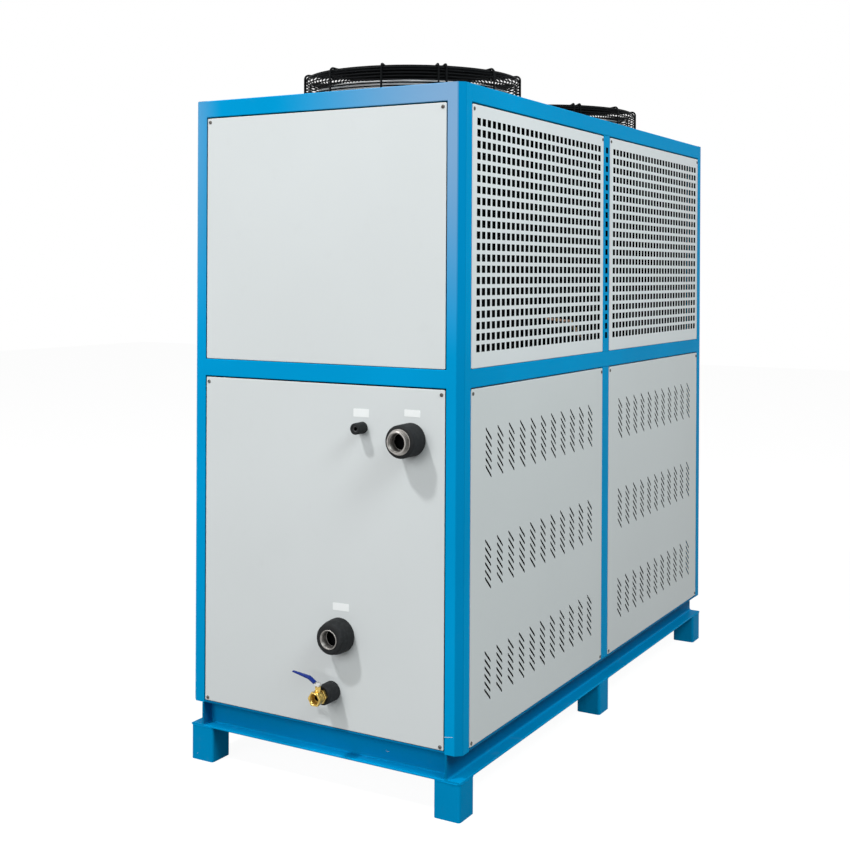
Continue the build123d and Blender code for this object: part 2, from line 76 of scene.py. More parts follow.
def lattice_faces(rows: int, columns: int, wrap_rows: bool = False, wrap_columns: bool = False) -> np.ndarray:
    """Quads between the points of a lattice that is numbered row by row.

    Args:
        rows: Rows of points.
        columns: Points in a row.
        wrap_rows: Whether the last row joins the first.
        wrap_columns: Whether the last column does.

    Returns:
        Point numbers, one row of four for each quad.
    """
    row = np.arange(rows if wrap_rows else rows - 1)[:, None]
    column = np.arange(columns if wrap_columns else columns - 1)[None, :]
    next_row, next_column = (row + 1) % rows, (column + 1) % columns
    corners = (
        row * columns + column,
        row * columns + next_column,
        next_row * columns + next_column,
        next_row * columns + column,
    )
    return np.stack(np.broadcast_arrays(*corners), -1).reshape(-1, 4)


def unit(vectors: np.ndarray) -> np.ndarray:
    """Vectors scaled to length one."""
    return vectors / np.linalg.norm(vectors, axis=-1, keepdims=True)


def round_corners(
    corners: Line, radii: Union[float, Spot], steps: int = 4, closed: bool = True
) -> np.ndarray:
    """A line through corners, each replaced by a circular arc that touches both its edges.

    With tangent points s and e, corner p and w the sine of half the corner's angle, the arc
    is the rational curve ((1-t)^2 s + 2 w t (1-t) p + t^2 e) / ((1-t)^2 + 2 w t (1-t) + t^2).

    Args:
        corners: The corner points, in two or three dimensions.
        radii: One radius for all corners, or one for each.
        steps: Parts that an arc is divided into.
        closed: Whether the line returns to its start; an open one keeps its end points.

    Returns:
        The rounded line's points.
    """
    points = np.asarray(corners, float)
    radius = np.broadcast_to(np.asarray(radii, float), len(points))[:, None]
    inner = points if closed else points[1:-1]
    before = np.roll(points, 1, 0) if closed else points[:-2]
    after = np.roll(points, -1, 0) if closed else points[2:]
    radius = radius if closed else radius[1:-1]
    back, ahead = unit(before - inner), unit(after - inner)
    half = np.arccos(np.clip((back * ahead).sum(-1, keepdims=True), -1, 1)) / 2
    reach = radius / np.tan(half)
    start, end = inner + back * reach, inner + ahead * reach
    t = np.linspace(0, 1, steps + 1)[None, :, None]
    weight = np.sin(half)[:, None, :]
    blend = (1 - t) ** 2 + 2 * weight * t * (1 - t) + t**2
    arc = (1 - t) ** 2 * start[:, None] + 2 * weight * t * (1 - t) * inner[:, None] + t**2 * end[:, None]
    arc = (arc / blend).reshape(-1, points.shape[1])
    return arc if closed else np.concatenate((points[:1], arc, points[-1:]))


def turns(count: int) -> np.ndarray:
    """Angles of points spread evenly round a circle."""
    return np.linspace(0, 2 * np.pi, count, endpoint=False)


def polygon(sides: int, radius: float) -> np.ndarray:
    """Corners of a regular polygon about the origin, the first on the x axis."""
    return np.stack((np.cos(turns(sides)), np.sin(turns(sides))), -1) * radius


def rectangle(left: float, right: float, low: float, high: float) -> np.ndarray:
    """Corners of a rectangle, from the lower left to the right, then up."""
    return np.array(((left, low), (right, low), (right, high), (left, high)), float)


def spread(count: int, pitch: float) -> np.ndarray:
    """Places a pitch apart, even about nought."""
    return (np.arange(count) - (count - 1) / 2) * pitch


def spans(middles: np.ndarray, size: float) -> np.ndarray:
    """Start and end of openings of one size about their middles."""
    return middles[:, None] + np.array((-size / 2, size / 2))


def heading(angle: float) -> np.ndarray:
    """The level direction at an angle from the x axis, in radians."""
    return np.array((math.cos(angle), math.sin(angle), 0.0))


def upright(low: float, high: float) -> list[Point]:
    """The ends of a line on the housing's upright middle axis."""
    return [(0.0, CENTRE_Y, height) for height in (low, high)]


def linked(name: str, data: bpy.types.ID) -> bpy.types.Object:
    """A new object of the scene."""
    item = bpy.data.objects.new(name, data)
    bpy.context.scene.collection.objects.link(item)
    return item


class Shape:
    """Points and faces gathered for one mesh, in millimetres."""

    def __init__(self) -> None:
        """Starts empty."""
        self.points: list[np.ndarray] = []
        self.faces: list[list[int]] = []
        self.slots: list[int] = []
        self.count = 0

    def add(self, points: np.ndarray, faces: Union[np.ndarray, list], slot: int = 0) -> None:
        """Adds points, and faces numbered within them.

        Args:
            points: The new points.
            faces: Point numbers of each face.
            slot: Number of the faces' finish.
        """
        flat = np.asarray(points, float).reshape(-1, 3)
        numbered = [(np.asarray(face) + self.count).tolist() for face in faces]
        self.points.append(flat)
        self.faces.extend(numbered)
        self.slots.extend([slot] * len(numbered))
        self.count += len(flat)

    def surface(
        self, points: np.ndarray, wrap_rows: bool = False, wrap_columns: bool = False,
        caps: bool = False, slot: int = 0,
    ) -> None:
        """Adds a surface given as rows of points.

        Args:
            points: An array of rows, columns and coordinates.
            wrap_rows: Whether the last row joins the first.
            wrap_columns: Whether the last column does.
            caps: Whether the first and last row get a face each.
            slot: Number of the faces' finish.
        """
        rows, columns = points.shape[:2]
        faces = lattice_faces(rows, columns, wrap_rows, wrap_columns).tolist()
        if caps:
            faces.append(list(range(columns))[::-1])
            faces.append(list(range((rows - 1) * columns, rows * columns)))
        self.add(points, faces, slot)

    def prism(
        self, profile: np.ndarray, start: Spot, end: Spot,
        across: Spot = (1, 0, 0), rise: Spot = (0, 1, 0), slot: int = 0,
    ) -> None:
        """Carries a closed profile straight from one point to another and closes its ends.

        Each point is start or end + profile x times across + profile y times rise.

        Args:
            profile: Points of the section.
            start: Where the section's origin starts.
            end: Where it ends.
            across: Direction of the section's first coordinate.
            rise: Direction of its second coordinate.
            slot: Number of the faces' finish.
        """
        section = profile[:, :1] * np.asarray(across, float) + profile[:, 1:] * np.asarray(rise, float)
        stations = np.stack((np.asarray(start, float), np.asarray(end, float)))
        self.surface(stations[:, None] + section[None], wrap_columns=True, caps=True, slot=slot)

    def turned(
        self, profile: Line, origin: Spot, axis: Spot,
        segments: int = 48, ring: bool = False, slot: int = 0,
    ) -> None:
        """Turns a profile of (radius, distance along the axis) about an axis.

        Each point is origin + axis times distance + radius times (cos a, sin a) in the plane
        across the axis.

        Args:
            profile: Pairs of radius and distance.
            origin: Where distance is zero on the axis.
            axis: Direction of the axis, of length one.
            segments: Points round the axis.
            ring: Whether the profile is closed, which makes a ring with no caps.
            slot: Number of the faces' finish.
        """
        line = np.asarray(profile, float)
        along = np.asarray(axis, float)
        side = unit(np.cross(along, (0.0, 1.0, 0.0) if abs(along[1]) < 0.9 else (1.0, 0.0, 0.0)))
        angle = turns(segments)
        around = np.cos(angle)[:, None] * side + np.sin(angle)[:, None] * np.cross(along, side)
        points = np.asarray(origin, float) + line[:, None, 1:] * along + line[:, None, :1] * around[None]
        self.surface(points, wrap_rows=ring, wrap_columns=True, caps=not ring, slot=slot)

    def wire(
        self, path: np.ndarray, normal: Spot, radius: Union[float, np.ndarray],
        sides: int = 6, closed: bool = False,
    ) -> None:
        """Lays a round wire along a line that stays in one plane.

        Each point is path + radius times (normal cos a + (tangent x normal) sin a).

        Args:
            path: Points of its middle line.
            normal: Direction across the line's plane.
            radius: Its radius, one number or one for each point.
            sides: Points round the wire.
            closed: Whether the line is a loop.
        """
        line = np.asarray(path, float)
        run = np.roll(line, -1, 0) - np.roll(line, 1, 0) if closed else np.gradient(line, axis=0)
        normals = np.broadcast_to(np.asarray(normal, float), line.shape)
        aside = unit(np.cross(unit(run), normals))
        angle = turns(sides)[None, :, None]
        thick = np.broadcast_to(np.asarray(radius, float), len(line))[:, None, None]
        points = line[:, None] + thick * (normals[:, None] * np.cos(angle) + aside[:, None] * np.sin(angle))
        self.surface(points, wrap_rows=closed, wrap_columns=True, caps=not closed)

    def piece(
        self, name: str, finishes: Sequence["Finish"], replaces: Sequence[str] = (),
        body: str = "housing", crease: float = 32.0, sheet: Optional[float] = None,
    ) -> None:
        """Writes the mesh and hands the piece to the frame.

        Args:
            name: The piece's name.
            finishes: Finishes, in the order of the faces' slot numbers.
            replaces: Nodes that the piece stands for.
            body: The body that the piece moves with.
            crease: Angle in degrees over which an edge stays sharp.
            sheet: Thickness of a folded sheet, given to the inside of its outer face.
        """
        mesh = bpy.data.meshes.new(name)
        mesh.from_pydata((np.concatenate(self.points) * MM).tolist(), [], self.faces)
        mesh.polygons.foreach_set("material_index", self.slots)
        edit = bmesh.new()
        edit.from_mesh(mesh)
        bmesh.ops.remove_doubles(edit, verts=edit.verts, dist=1e-6)
        loose = [vertex for vertex in edit.verts if not vertex.link_faces]
        bmesh.ops.delete(edit, geom=loose, context="VERTS")
        if sheet is None:
            bmesh.ops.recalc_face_normals(edit, faces=edit.faces)
        edit.to_mesh(mesh)
        edit.free()
        for finish in finishes:
            mesh.materials.append(finish.material())
        mesh.shade_smooth()
        mesh.set_sharp_from_angle(angle=math.radians(crease))
        item = linked(name, mesh)
        if sheet is not None:
            wall = item.modifiers.new("Wall", "SOLIDIFY")
            wall.thickness = sheet * MM
            wall.offset = -1.0
            wall.use_even_offset = True
            # the sheet's inner face and cut edges take the last finish, which is painted shade in every sheet
            # here
            wall.material_offset = wall.material_offset_rim = len(finishes) - 1
            built = item.evaluated_get(bpy.context.evaluated_depsgraph_get())
            item.data = bpy.data.meshes.new_from_object(built)
            item.modifiers.clear()
            item.data.set_sharp_from_angle(angle=math.radians(crease))
        flats = item.modifiers.new("Flats", "WEIGHTED_NORMAL")
        flats.keep_sharp = True
        flats.weight = 100
        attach(item, body)
        if replaces:
            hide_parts(*replaces)
        LOG.info("%s: %d faces, for %s", name, len(mesh.polygons), ", ".join(replaces) or "detail")


# Shader maths


@dataclass
class Value:
    """A number that varies over a surface; arithmetic on it adds Math nodes."""

    graph: "Graph"
    socket: Socket

    def _math(self, operation: str, first: "Number", second: "Number" = 0.0) -> "Value":
        """Adds one Math node on two numbers."""
        node = self.graph.node("ShaderNodeMath", {"operation": operation}, {0: first, 1: second})
        return Value(self.graph, node.outputs[0])

    def __add__(self, other: "Number") -> "Value":
        """Sum."""
        return self._math("ADD", self, other)

    __radd__ = __add__

    def __sub__(self, other: "Number") -> "Value":
        """Difference."""
        return self._math("SUBTRACT", self, other)

    def __mul__(self, other: "Number") -> "Value":
        """Product."""
        return self._math("MULTIPLY", self, other)

    def sine(self) -> "Value":
        """Sine of an angle in radians."""
        return self._math("SINE", self)

    def between(self, low: float, high: float) -> "Value":
        """A smooth step: zero below low, one above high."""
        node = self.graph.node(
            "ShaderNodeMapRange",
            {"interpolation_type": "SMOOTHSTEP"},
            {"Value": self, "From Min": low, "From Max": high},
        )
        return Value(self.graph, node.outputs["Result"])


Number = Union[Value, float, int]
Tint = Union[Colour, Socket]


class Graph:
    """The nodes of one material or world."""

    def __init__(
        self, owner: Union[bpy.types.Material, bpy.types.World],
        shader: str = "ShaderNodeBsdfPrincipled", output: str = "ShaderNodeOutputMaterial",
    ) -> None:
        """Starts the nodes of a material or world with one shader on its output.

        Args:
            owner: The new material or world.
            shader: Type of the shader node.
            output: Type of the output node.
        """
        self.owner = owner
        owner.use_nodes = True
        self.tree = owner.node_tree
        self.tree.nodes.clear()
        self.shader = self.node(shader)
        self.node(output, {}, {"Surface": self.shader.outputs[0]})

    def node(
        self, kind: str, settings: Optional[dict] = None, inputs: Optional[dict] = None
    ) -> bpy.types.ShaderNode:
        """Adds a node, gives it its settings and then its inputs.

        Args:
            kind: The node's type.
            settings: Its own settings, such as an operation.
            inputs: Values or links for its sockets, by name or number.

        Returns:
            The new node.
        """
        node = self.tree.nodes.new(kind)
        for key, setting in (settings or {}).items():
            setattr(node, key, setting)
        for key, value in (inputs or {}).items():
            self.feed(node.inputs[key], value)
        return node

    def feed(self, target: Socket, value: object) -> None:
        """Links a socket to an input, or sets the input to a number or colour."""
        source = value.socket if isinstance(value, Value) else value
        if isinstance(source, Socket):
            self.tree.links.new(source, target)
        else:
            target.default_value = source

    def set(self, **sockets: object) -> None:
        """Sets or links sockets of the shader, named with _ for a space."""
        for key, value in sockets.items():
            self.feed(self.shader.inputs[key.replace("_", " ")], value)

    def place(self) -> Socket:
        """Object coordinates, in metres."""
        return self.node("ShaderNodeTexCoord").outputs["Object"]

    def parts(self, vector: Socket) -> tuple[Value, Value, Value]:
        """The three numbers of a vector."""
        node = self.node("ShaderNodeSeparateXYZ", {}, {0: vector})
        return tuple(Value(self, output) for output in node.outputs)

    def noise(self, vector: Socket, scale: float, detail: float, roughness: float = 0.5) -> Value:
        """Soft noise between nought and one, with features of about one metre / scale."""
        node = self.node(
            "ShaderNodeTexNoise",
            {"noise_dimensions": "3D"},
            {"Vector": vector, "Scale": scale, "Detail": detail, "Roughness": roughness},
        )
        return Value(self, node.outputs[0])

    def stretched(self, vector: Socket, scale: Colour) -> Socket:
        """Coordinates scaled apart along each axis."""
        return self.node("ShaderNodeMapping", {}, {"Vector": vector, "Scale": scale}).outputs[0]

    def mix(self, factor: Number, first: Tint, second: Tint) -> Socket:
        """A colour between two, by a factor from nought to one."""
        pair = [(*colour, 1.0) if isinstance(colour, tuple) else colour for colour in (first, second)]
        node = self.node("ShaderNodeMix", {"data_type": "RGBA"}, {0: factor, 6: pair[0], 7: pair[1]})
        return node.outputs[2]

    def bump(self, height: Value, depth: float) -> Socket:
        """A normal from a height that runs from nought to one, its depth in millimetres."""
        inputs = {"Height": height, "Distance": depth * MM, "Strength": 1.0}
        return self.node("ShaderNodeBump", {}, inputs).outputs[0]


@dataclass(frozen=True)
class Finish:
    """A finish of the machine, with the record's slot that it stands for, if any."""

    name: str
    colour: Colour
    slot: str = ""

    def material(self) -> bpy.types.Material:
        """The finish's material, made once."""
        known = bpy.data.materials.get(self.name)
        if known is not None:
            return known
        graph = Graph(bpy.data.materials.new(self.name))
        self.dress(graph, graph.place())
        return graph.owner

    def shade(self, factor: float, lift: float = 0.0) -> Colour:
        """The finish's colour made darker or lighter by a factor, then lifted."""
        return tuple(c * factor + lift for c in self.colour)

    def dress(self, graph: Graph, place: Socket) -> None:
        """Adds the nodes of this finish, laid out by object coordinates."""
        raise NotImplementedError


GRIME_COLOUR = (0.32, 0.31, 0.29)
# painted highlight on the top corners of the pipe end's face
PAINTED_HIGHLIGHT_COLOUR = (0.30, 0.42, 0.60)
# painted shade on the chamfer of the corner post beside the pipe end's face
CHAMFER_SHADE_COLOUR = (0.0, 0.19, 0.42)
# painted shade on the base angles' upright webs, under the housing's overhang
WEB_SHADE_COLOUR = (0.0, 0.10, 0.24)
FACE = (CENTRE_Y - HALF_LENGTH) * MM
CHAMFER = (HALF_WIDTH - CORNER_CUT) * MM - FACE
WEB_FOOT = (0.0938, 0.0975)


@dataclass(frozen=True)
class Paint(Finish):
    """Sprayed and baked paint: faint cloudiness, fine orange peel, a little dust.

    Painted light lightens the pipe end's face towards its top corners as a painted highlight,
    and darkens the chamfer beside it as painted shade; web darkens all above the foot of
    the base angle's upright leg as painted shade.
    """

    roughness: float = 0.4
    cloud: float = 0.04
    peel: float = 0.02
    dust: float = 0.05
    gloss: float = 0.2
    painted_light: float = 0.0
    web: float = 0.0

    def dress(self, graph: Graph, place: Socket) -> None:
        """Adds the nodes of this finish."""
        cloud = graph.noise(place, 2.2, 3.0)
        fine = graph.noise(place, 420.0, 2.0)
        grime = graph.noise(place, 26.0, 5.0, 0.65).between(0.56, 0.78) * self.dust
        body = graph.mix(cloud.between(0.3, 0.7), self.shade(1 - self.cloud), self.shade(1 + self.cloud))
        # painted highlight towards the top corners of the pipe end's face, and painted shade on the chamfer
        # beside it
        if self.painted_light:
            across, along, height = graph.parts(place)
            front = along.between(FACE + 0.0015, FACE + 0.0005)
            ends = across.between(-0.15, 0.42) + across.between(-0.30, -0.42) * 0.5
            near = ends * height.between(1.05, 1.62) * front
            body = graph.mix(near * self.painted_light, body, PAINTED_HIGHLIGHT_COLOUR)
            # painted shade darkens the chamfer of the corner post
            fold = (across - along).between(CHAMFER - 0.0025, CHAMFER - 0.0005)
            body = graph.mix(fold * 0.6, body, CHAMFER_SHADE_COLOUR)
        # painted shade on the base angle's upright web, above the foot of its leg
        if self.web:
            body = graph.mix(graph.parts(place)[2].between(*WEB_FOOT) * self.web, body, WEB_SHADE_COLOUR)
        graph.set(
            Base_Color=graph.mix(grime, body, GRIME_COLOUR),
            Roughness=self.roughness + (cloud - 0.5) * 0.08 + (fine - 0.5) * 0.06 + grime * 0.5,
            Normal=graph.bump(fine, self.peel),
            Specular_IOR_Level=self.gloss,
        )


@dataclass(frozen=True)
class Sheet(Finish):
    """Zinc-coated sheet: small grey spangles and rolling streaks."""

    def dress(self, graph: Graph, place: Socket) -> None:
        """Adds the nodes of this finish."""
        spangle = graph.node("ShaderNodeTexVoronoi", {"feature": "F1"}, {"Vector": place, "Scale": 90.0})
        grain = graph.parts(spangle.outputs["Color"])[0]
        streak = graph.noise(graph.stretched(place, (160.0, 3.0, 160.0)), 1.0, 3.0)
        graph.set(
            Base_Color=graph.mix(grain * 0.5 + streak * 0.4, self.shade(0.82), self.colour),
            Metallic=0.85,
            Roughness=0.36 + grain * 0.14 + streak * 0.1,
            Normal=graph.bump(grain, 0.01),
        )


@dataclass(frozen=True)
class Metal(Finish):
    """Turned or drawn metal with fine tool marks, and darker patches that are partly tarnish and partly
    painted shade.
    """

    roughness: float = 0.3
    marks: Colour = (900.0, 60.0, 900.0)
    tarnish_and_shade_colour: Colour = (0.3, 0.28, 0.25)
    tarnish_and_shade: float = 0.25

    def dress(self, graph: Graph, place: Socket) -> None:
        """Adds the nodes of this finish."""
        marks = graph.noise(graph.stretched(place, self.marks), 1.0, 3.0)
        skin = graph.noise(place, 75.0, 4.0, 0.6).between(0.42, 0.75)
        graph.set(
            # random darker patches: tarnish, and painted shade that darkens the reflections
            Base_Color=graph.mix(skin * self.tarnish_and_shade, self.colour, self.tarnish_and_shade_colour),
            Metallic=1.0,
            Roughness=self.roughness + marks * 0.12 + skin * 0.18,
            Normal=graph.bump(marks, 0.02),
        )


@dataclass(frozen=True)
class Foam(Finish):
    """Closed-cell rubber foam: tiny pores, a slightly shiny skin."""

    def dress(self, graph: Graph, place: Socket) -> None:
        """Adds the nodes of this finish."""
        cells = graph.node("ShaderNodeTexVoronoi", {"feature": "F1"}, {"Vector": place, "Scale": 700.0})
        pores = Value(graph, cells.outputs["Distance"])
        lumps = graph.noise(place, 110.0, 4.0, 0.6)
        graph.set(
            Base_Color=graph.mix(lumps.between(0.35, 0.75), self.colour, self.shade(1.7, 0.004)),
            Roughness=0.62 + lumps * 0.25,
            Normal=graph.bump(pores * 0.5 + lumps, 0.35),
            Specular_IOR_Level=0.2,
        )


@dataclass(frozen=True)
class Plastic(Finish):
    """Smooth plastic or dipped vinyl with a soft gloss."""

    roughness: float = 0.35
    coat: float = 0.0
    gloss: float = 0.4

    def dress(self, graph: Graph, place: Socket) -> None:
        """Adds the nodes of this finish."""
        wave = graph.noise(place, 60.0, 3.0)
        graph.set(
            Base_Color=graph.mix(wave, self.shade(0.94), self.colour),
            Roughness=self.roughness + wave * 0.12,
            Coat_Weight=self.coat,
            Specular_IOR_Level=self.gloss,
            Normal=graph.bump(wave, 0.12),
        )


@dataclass(frozen=True)
class Fins(Finish):
    """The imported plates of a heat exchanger, on edge, with rows of tubes behind."""

    pitch: float = 2.1
    tube_pitch: float = 25.0

    def dress(self, graph: Graph, place: Socket) -> None:
        """Adds the nodes of this finish: stripes along Y, bands where tubes pass along Z."""
        _, along, height = graph.parts(place)
        edge = (along * (2 * math.pi / (self.pitch * MM))).sine() * 0.5 + 0.5
        tubes = (height * (2 * math.pi / (self.tube_pitch * MM))).sine().between(0.5, 0.95)
        dirt = graph.noise(place, 14.0, 4.0)
        graph.set(
            Base_Color=graph.mix(edge * (0.4 + dirt * 0.6), self.shade(0.25), self.colour),
            Roughness=0.6 + dirt * 0.2,
            Specular_IOR_Level=0.0,
            Normal=graph.bump(edge + tubes * 0.6, 0.8),
        )


# the frame's blue carries the painted highlight and the painted shade on the chamfer
BLUE = Paint("blue_paint", (0.0, 0.315, 0.65), "frame_blue", 0.4, 0.05, 0.03, 0.01, gloss=0.01, painted_light=0.72)
BASE_BLUE = Paint("base_blue_paint", (0.0, 0.27, 0.57), "base_blue", 0.42, 0.07, 0.05, 0.03, gloss=0.01)
# the long base angles' paint, with painted shade on their webs
WEB_SHADED_BLUE = replace(BASE_BLUE, name="base_side_shaded_paint", dust=0.05, web=0.6)
CHIP = Paint("chipped_paint", (0.50, 0.58, 0.63), roughness=0.6, cloud=0.1)
# painted shade: a darker copy of the frame blue for the bottom rails, which sit in shade under the panels
SHADE_BLUE = Paint("shaded_blue_paint", (0.0, 0.15, 0.34), "frame_blue", 0.5, 0.06, dust=0.02, gloss=0.02)
PANEL = Paint("light_grey_paint", (0.665, 0.70, 0.705), "panel_grey", roughness=0.46, cloud=0.015, dust=0.03)
# painted light: the panel paint made lighter for the grilles, which are lit from above
LIT_GRILLE = replace(PANEL, name="grille_paint", colour=(0.75, 0.785, 0.80), dust=0.02)
# painted shade: near black for sheet backs, cut edges, flanges, strips and bores that lie in shade
PAINTED_SHADE = Paint("painted_shade", (0.006, 0.006, 0.007), roughness=0.8, cloud=0.1, dust=0.0, gloss=0.0)
COLLAR = Paint("collar_paint", (0.60, 0.61, 0.62), "collar_grey", roughness=0.42, cloud=0.03)
WIRE = Paint("black_wire_coat", (0.003, 0.0035, 0.004), "guard_black", 0.5, 0.1, 0.04, dust=0.0, gloss=0.05)
MOTOR = Paint("motor_paint", (0.015, 0.015, 0.017), "motor_black", roughness=0.45, cloud=0.1)
ROTOR = Paint("rotor_paint", (0.055, 0.056, 0.06), "rotor_grey", roughness=0.5, cloud=0.12, dust=0.12)
ZINC = Sheet("zinc_sheet", (0.62, 0.64, 0.65))
STEEL = Metal("turned_steel", (0.33, 0.315, 0.30), "socket_steel", tarnish_and_shade_colour=(0.12, 0.11, 0.1), tarnish_and_shade=0.6)
BRASS = Metal("cast_brass", (0.62, 0.44, 0.13), "valve_brass", 0.22, tarnish_and_shade_colour=(0.17, 0.10, 0.02), tarnish_and_shade=0.7)
# painted shade: a darker metal for the threaded walls inside the bores
BORE_SHADED_METAL = Metal("bore_shaded_metal", (0.26, 0.25, 0.24), roughness=0.32, tarnish_and_shade_colour=(0.04, 0.038, 0.035), tarnish_and_shade=0.5)
CHROME = Metal("plated_steel", (0.62, 0.62, 0.61), roughness=0.18, tarnish_and_shade=0.15)
COPPER = Metal("copper_tube", (0.80, 0.42, 0.26), tarnish_and_shade_colour=(0.25, 0.12, 0.07), tarnish_and_shade=0.5)
SCREW = Metal("screw_steel", (0.11, 0.105, 0.10), roughness=0.34, tarnish_and_shade_colour=(0.08, 0.06, 0.05), tarnish_and_shade=0.5)
FOAM = Foam("black_foam", (0.008, 0.0088, 0.0096), "foam_black")
TUBE = Plastic("grey_tube", (0.10, 0.10, 0.105), "overflow_grey", roughness=0.4)
VINYL = Plastic("blue_vinyl", (0.005, 0.022, 0.18), "lever_blue", roughness=0.3, coat=0.05, gloss=0.12)
STICKER = Plastic("bare_label", (0.90, 0.93, 0.93), roughness=0.3)
CLEAR = Plastic("clear_label", (0.70, 0.735, 0.74), roughness=0.25)
# painted shade: the fins are near black, for the shade behind the grilles
SHADED_COIL = Fins("shaded_exchanger_fins", (0.012, 0.012, 0.014), "coil_fins")


# Walls of the housing


@dataclass(frozen=True)
class Wall:
    """One upright side of the housing: x runs along it, y is height, out is away from it."""

    origin: Point
    across: Point
    outward: Point

    def place(self, x: np.ndarray, height: np.ndarray, out: np.ndarray) -> np.ndarray:
        """Points at the given distances along, above and out from the wall's plane.

        Args:
            x: Distances along the wall from its middle.
            height: Heights above the floor.
            out: Distances out from the wall.

        Returns:
            Points, with the arguments' common shape.
        """
        x, height, out = np.broadcast_arrays(*(np.asarray(v, float)[..., None] for v in (x, height, out)))
        across, outward = np.asarray(self.across), np.asarray(self.outward)
        return np.asarray(self.origin) + x * across + height * UP + out * outward


class Side(Enum):
    """The four sides, as seen by someone in front of the pipe end."""

    FRONT = Wall((0.0, CENTRE_Y - HALF_LENGTH, 0.0), (1.0, 0.0, 0.0), (0.0, -1.0, 0.0))
    BACK = Wall((0.0, CENTRE_Y + HALF_LENGTH, 0.0), (-1.0, 0.0, 0.0), (0.0, 1.0, 0.0))
    RIGHT = Wall((HALF_WIDTH, CENTRE_Y, 0.0), (0.0, 1.0, 0.0), (1.0, 0.0, 0.0))
    LEFT = Wall((-HALF_WIDTH, CENTRE_Y, 0.0), (0.0, -1.0, 0.0), (-1.0, 0.0, 0.0))


ENDS = (Side.FRONT, Side.BACK)
LONG_SIDES = (Side.RIGHT, Side.LEFT)


@dataclass(frozen=True)
class Bay:
    """An opening of the frame between two rails."""

    bottom: float
    height: float

    @property
    def top(self) -> float:
        """Height of the upper edge."""
        return self.bottom + self.height


LOWER = Bay(157.5, 836.0)
UPPER = Bay(1037.0, 620.0)
NO_OPENINGS = np.empty((0, 2))
HOLE_ROWS = 1084.2 + np.arange(21) * 26.53


@dataclass
class FoldedSheet:
    """A flat of sheet with its edges folded back, cut with rows of openings.

    The sheet is a lattice: its lines along and up are the flat's own lines and, past them,
    a fold of quarter-circle section and a flange. A line's place is (half - r + r sin a) and
    its depth r (1 - cos a) over the fold.
    """

    width: float
    height: float
    depth: float = 18.0
    radius: float = 1.6
    steps: int = 3

    @property
    def margin(self) -> int:
        """Number of lines past the openings at a folded edge."""
        return self.steps + 2

    def folded(self, openings: np.ndarray, half: float, flange: bool = True) -> tuple[np.ndarray, ...]:
        """The lines in one direction: those of the openings, with fold and flange at both ends.

        Args:
            openings: Lines of each opening from the middle, a row of the array for each.
            half: Half the sheet's size in this direction.
            flange: Whether the edge is folded; otherwise it is just cut.

        Returns:
            Places of the lines, their depths, and for each band between two lines whether it
            is flat and whether it runs through an opening.
        """
        lines = openings.reshape(-1)
        edge, deep = np.array((half,)), np.zeros(1)
        if flange:
            angle = np.linspace(0, np.pi / 2, self.steps + 1)
            edge = np.append(half - self.radius + self.radius * np.sin(angle), half)
            deep = np.append(self.radius * (1 - np.cos(angle)), self.depth)
        along = np.concatenate((-edge[::-1], lines, edge))
        depths = np.concatenate((deep[::-1], np.zeros(len(lines)), deep))
        band = np.arange(len(along) - 1) - len(edge)
        flat = (band >= -1) & (band < len(lines))
        group = openings.shape[1]
        hole = (band >= 0) & (band < len(lines)) & (band % group < group - 1)
        return along, depths, flat, hole

    def build(
        self, shape: Shape, wall: Wall, middle: Pair,
        columns: np.ndarray = NO_OPENINGS, rows: np.ndarray = NO_OPENINGS, flange_rows: bool = True,
    ) -> None:
        """Adds the sheet with a square opening where each column meets each row.

        Args:
            shape: Where the faces go, the flanges in finish 1.
            wall: The side that the sheet lies in.
            middle: Its middle along the wall and above the floor.
            columns: Start and end of each column of openings, from the middle.
            rows: Start and end of each row.
            flange_rows: Whether the top and bottom edges are folded too.
        """
        x, deep_x, flat_x, hole_x = self.folded(columns, self.width / 2)
        z, deep_z, flat_z, hole_z = self.folded(rows, self.height / 2, flange_rows)
        keep = (flat_x | flat_z[:, None]) & ~(hole_x & hole_z[:, None])
        points = wall.place(middle[0] + x, middle[1] + z[:, None], -(deep_x + deep_z[:, None]))
        folded = np.zeros(keep.shape, bool)
        folded[[0, -1]] = flange_rows
        folded[:, [0, -1]] = True
        faces = lattice_faces(len(z), len(x))
        shape.add(points, faces[(keep & ~folded).reshape(-1)])
        # folds and flanges take finish 1, which the pieces here make painted shade, for the dark gap round
        # each panel
        shape.add(points, faces[(keep & folded).reshape(-1)], slot=1)


# Base


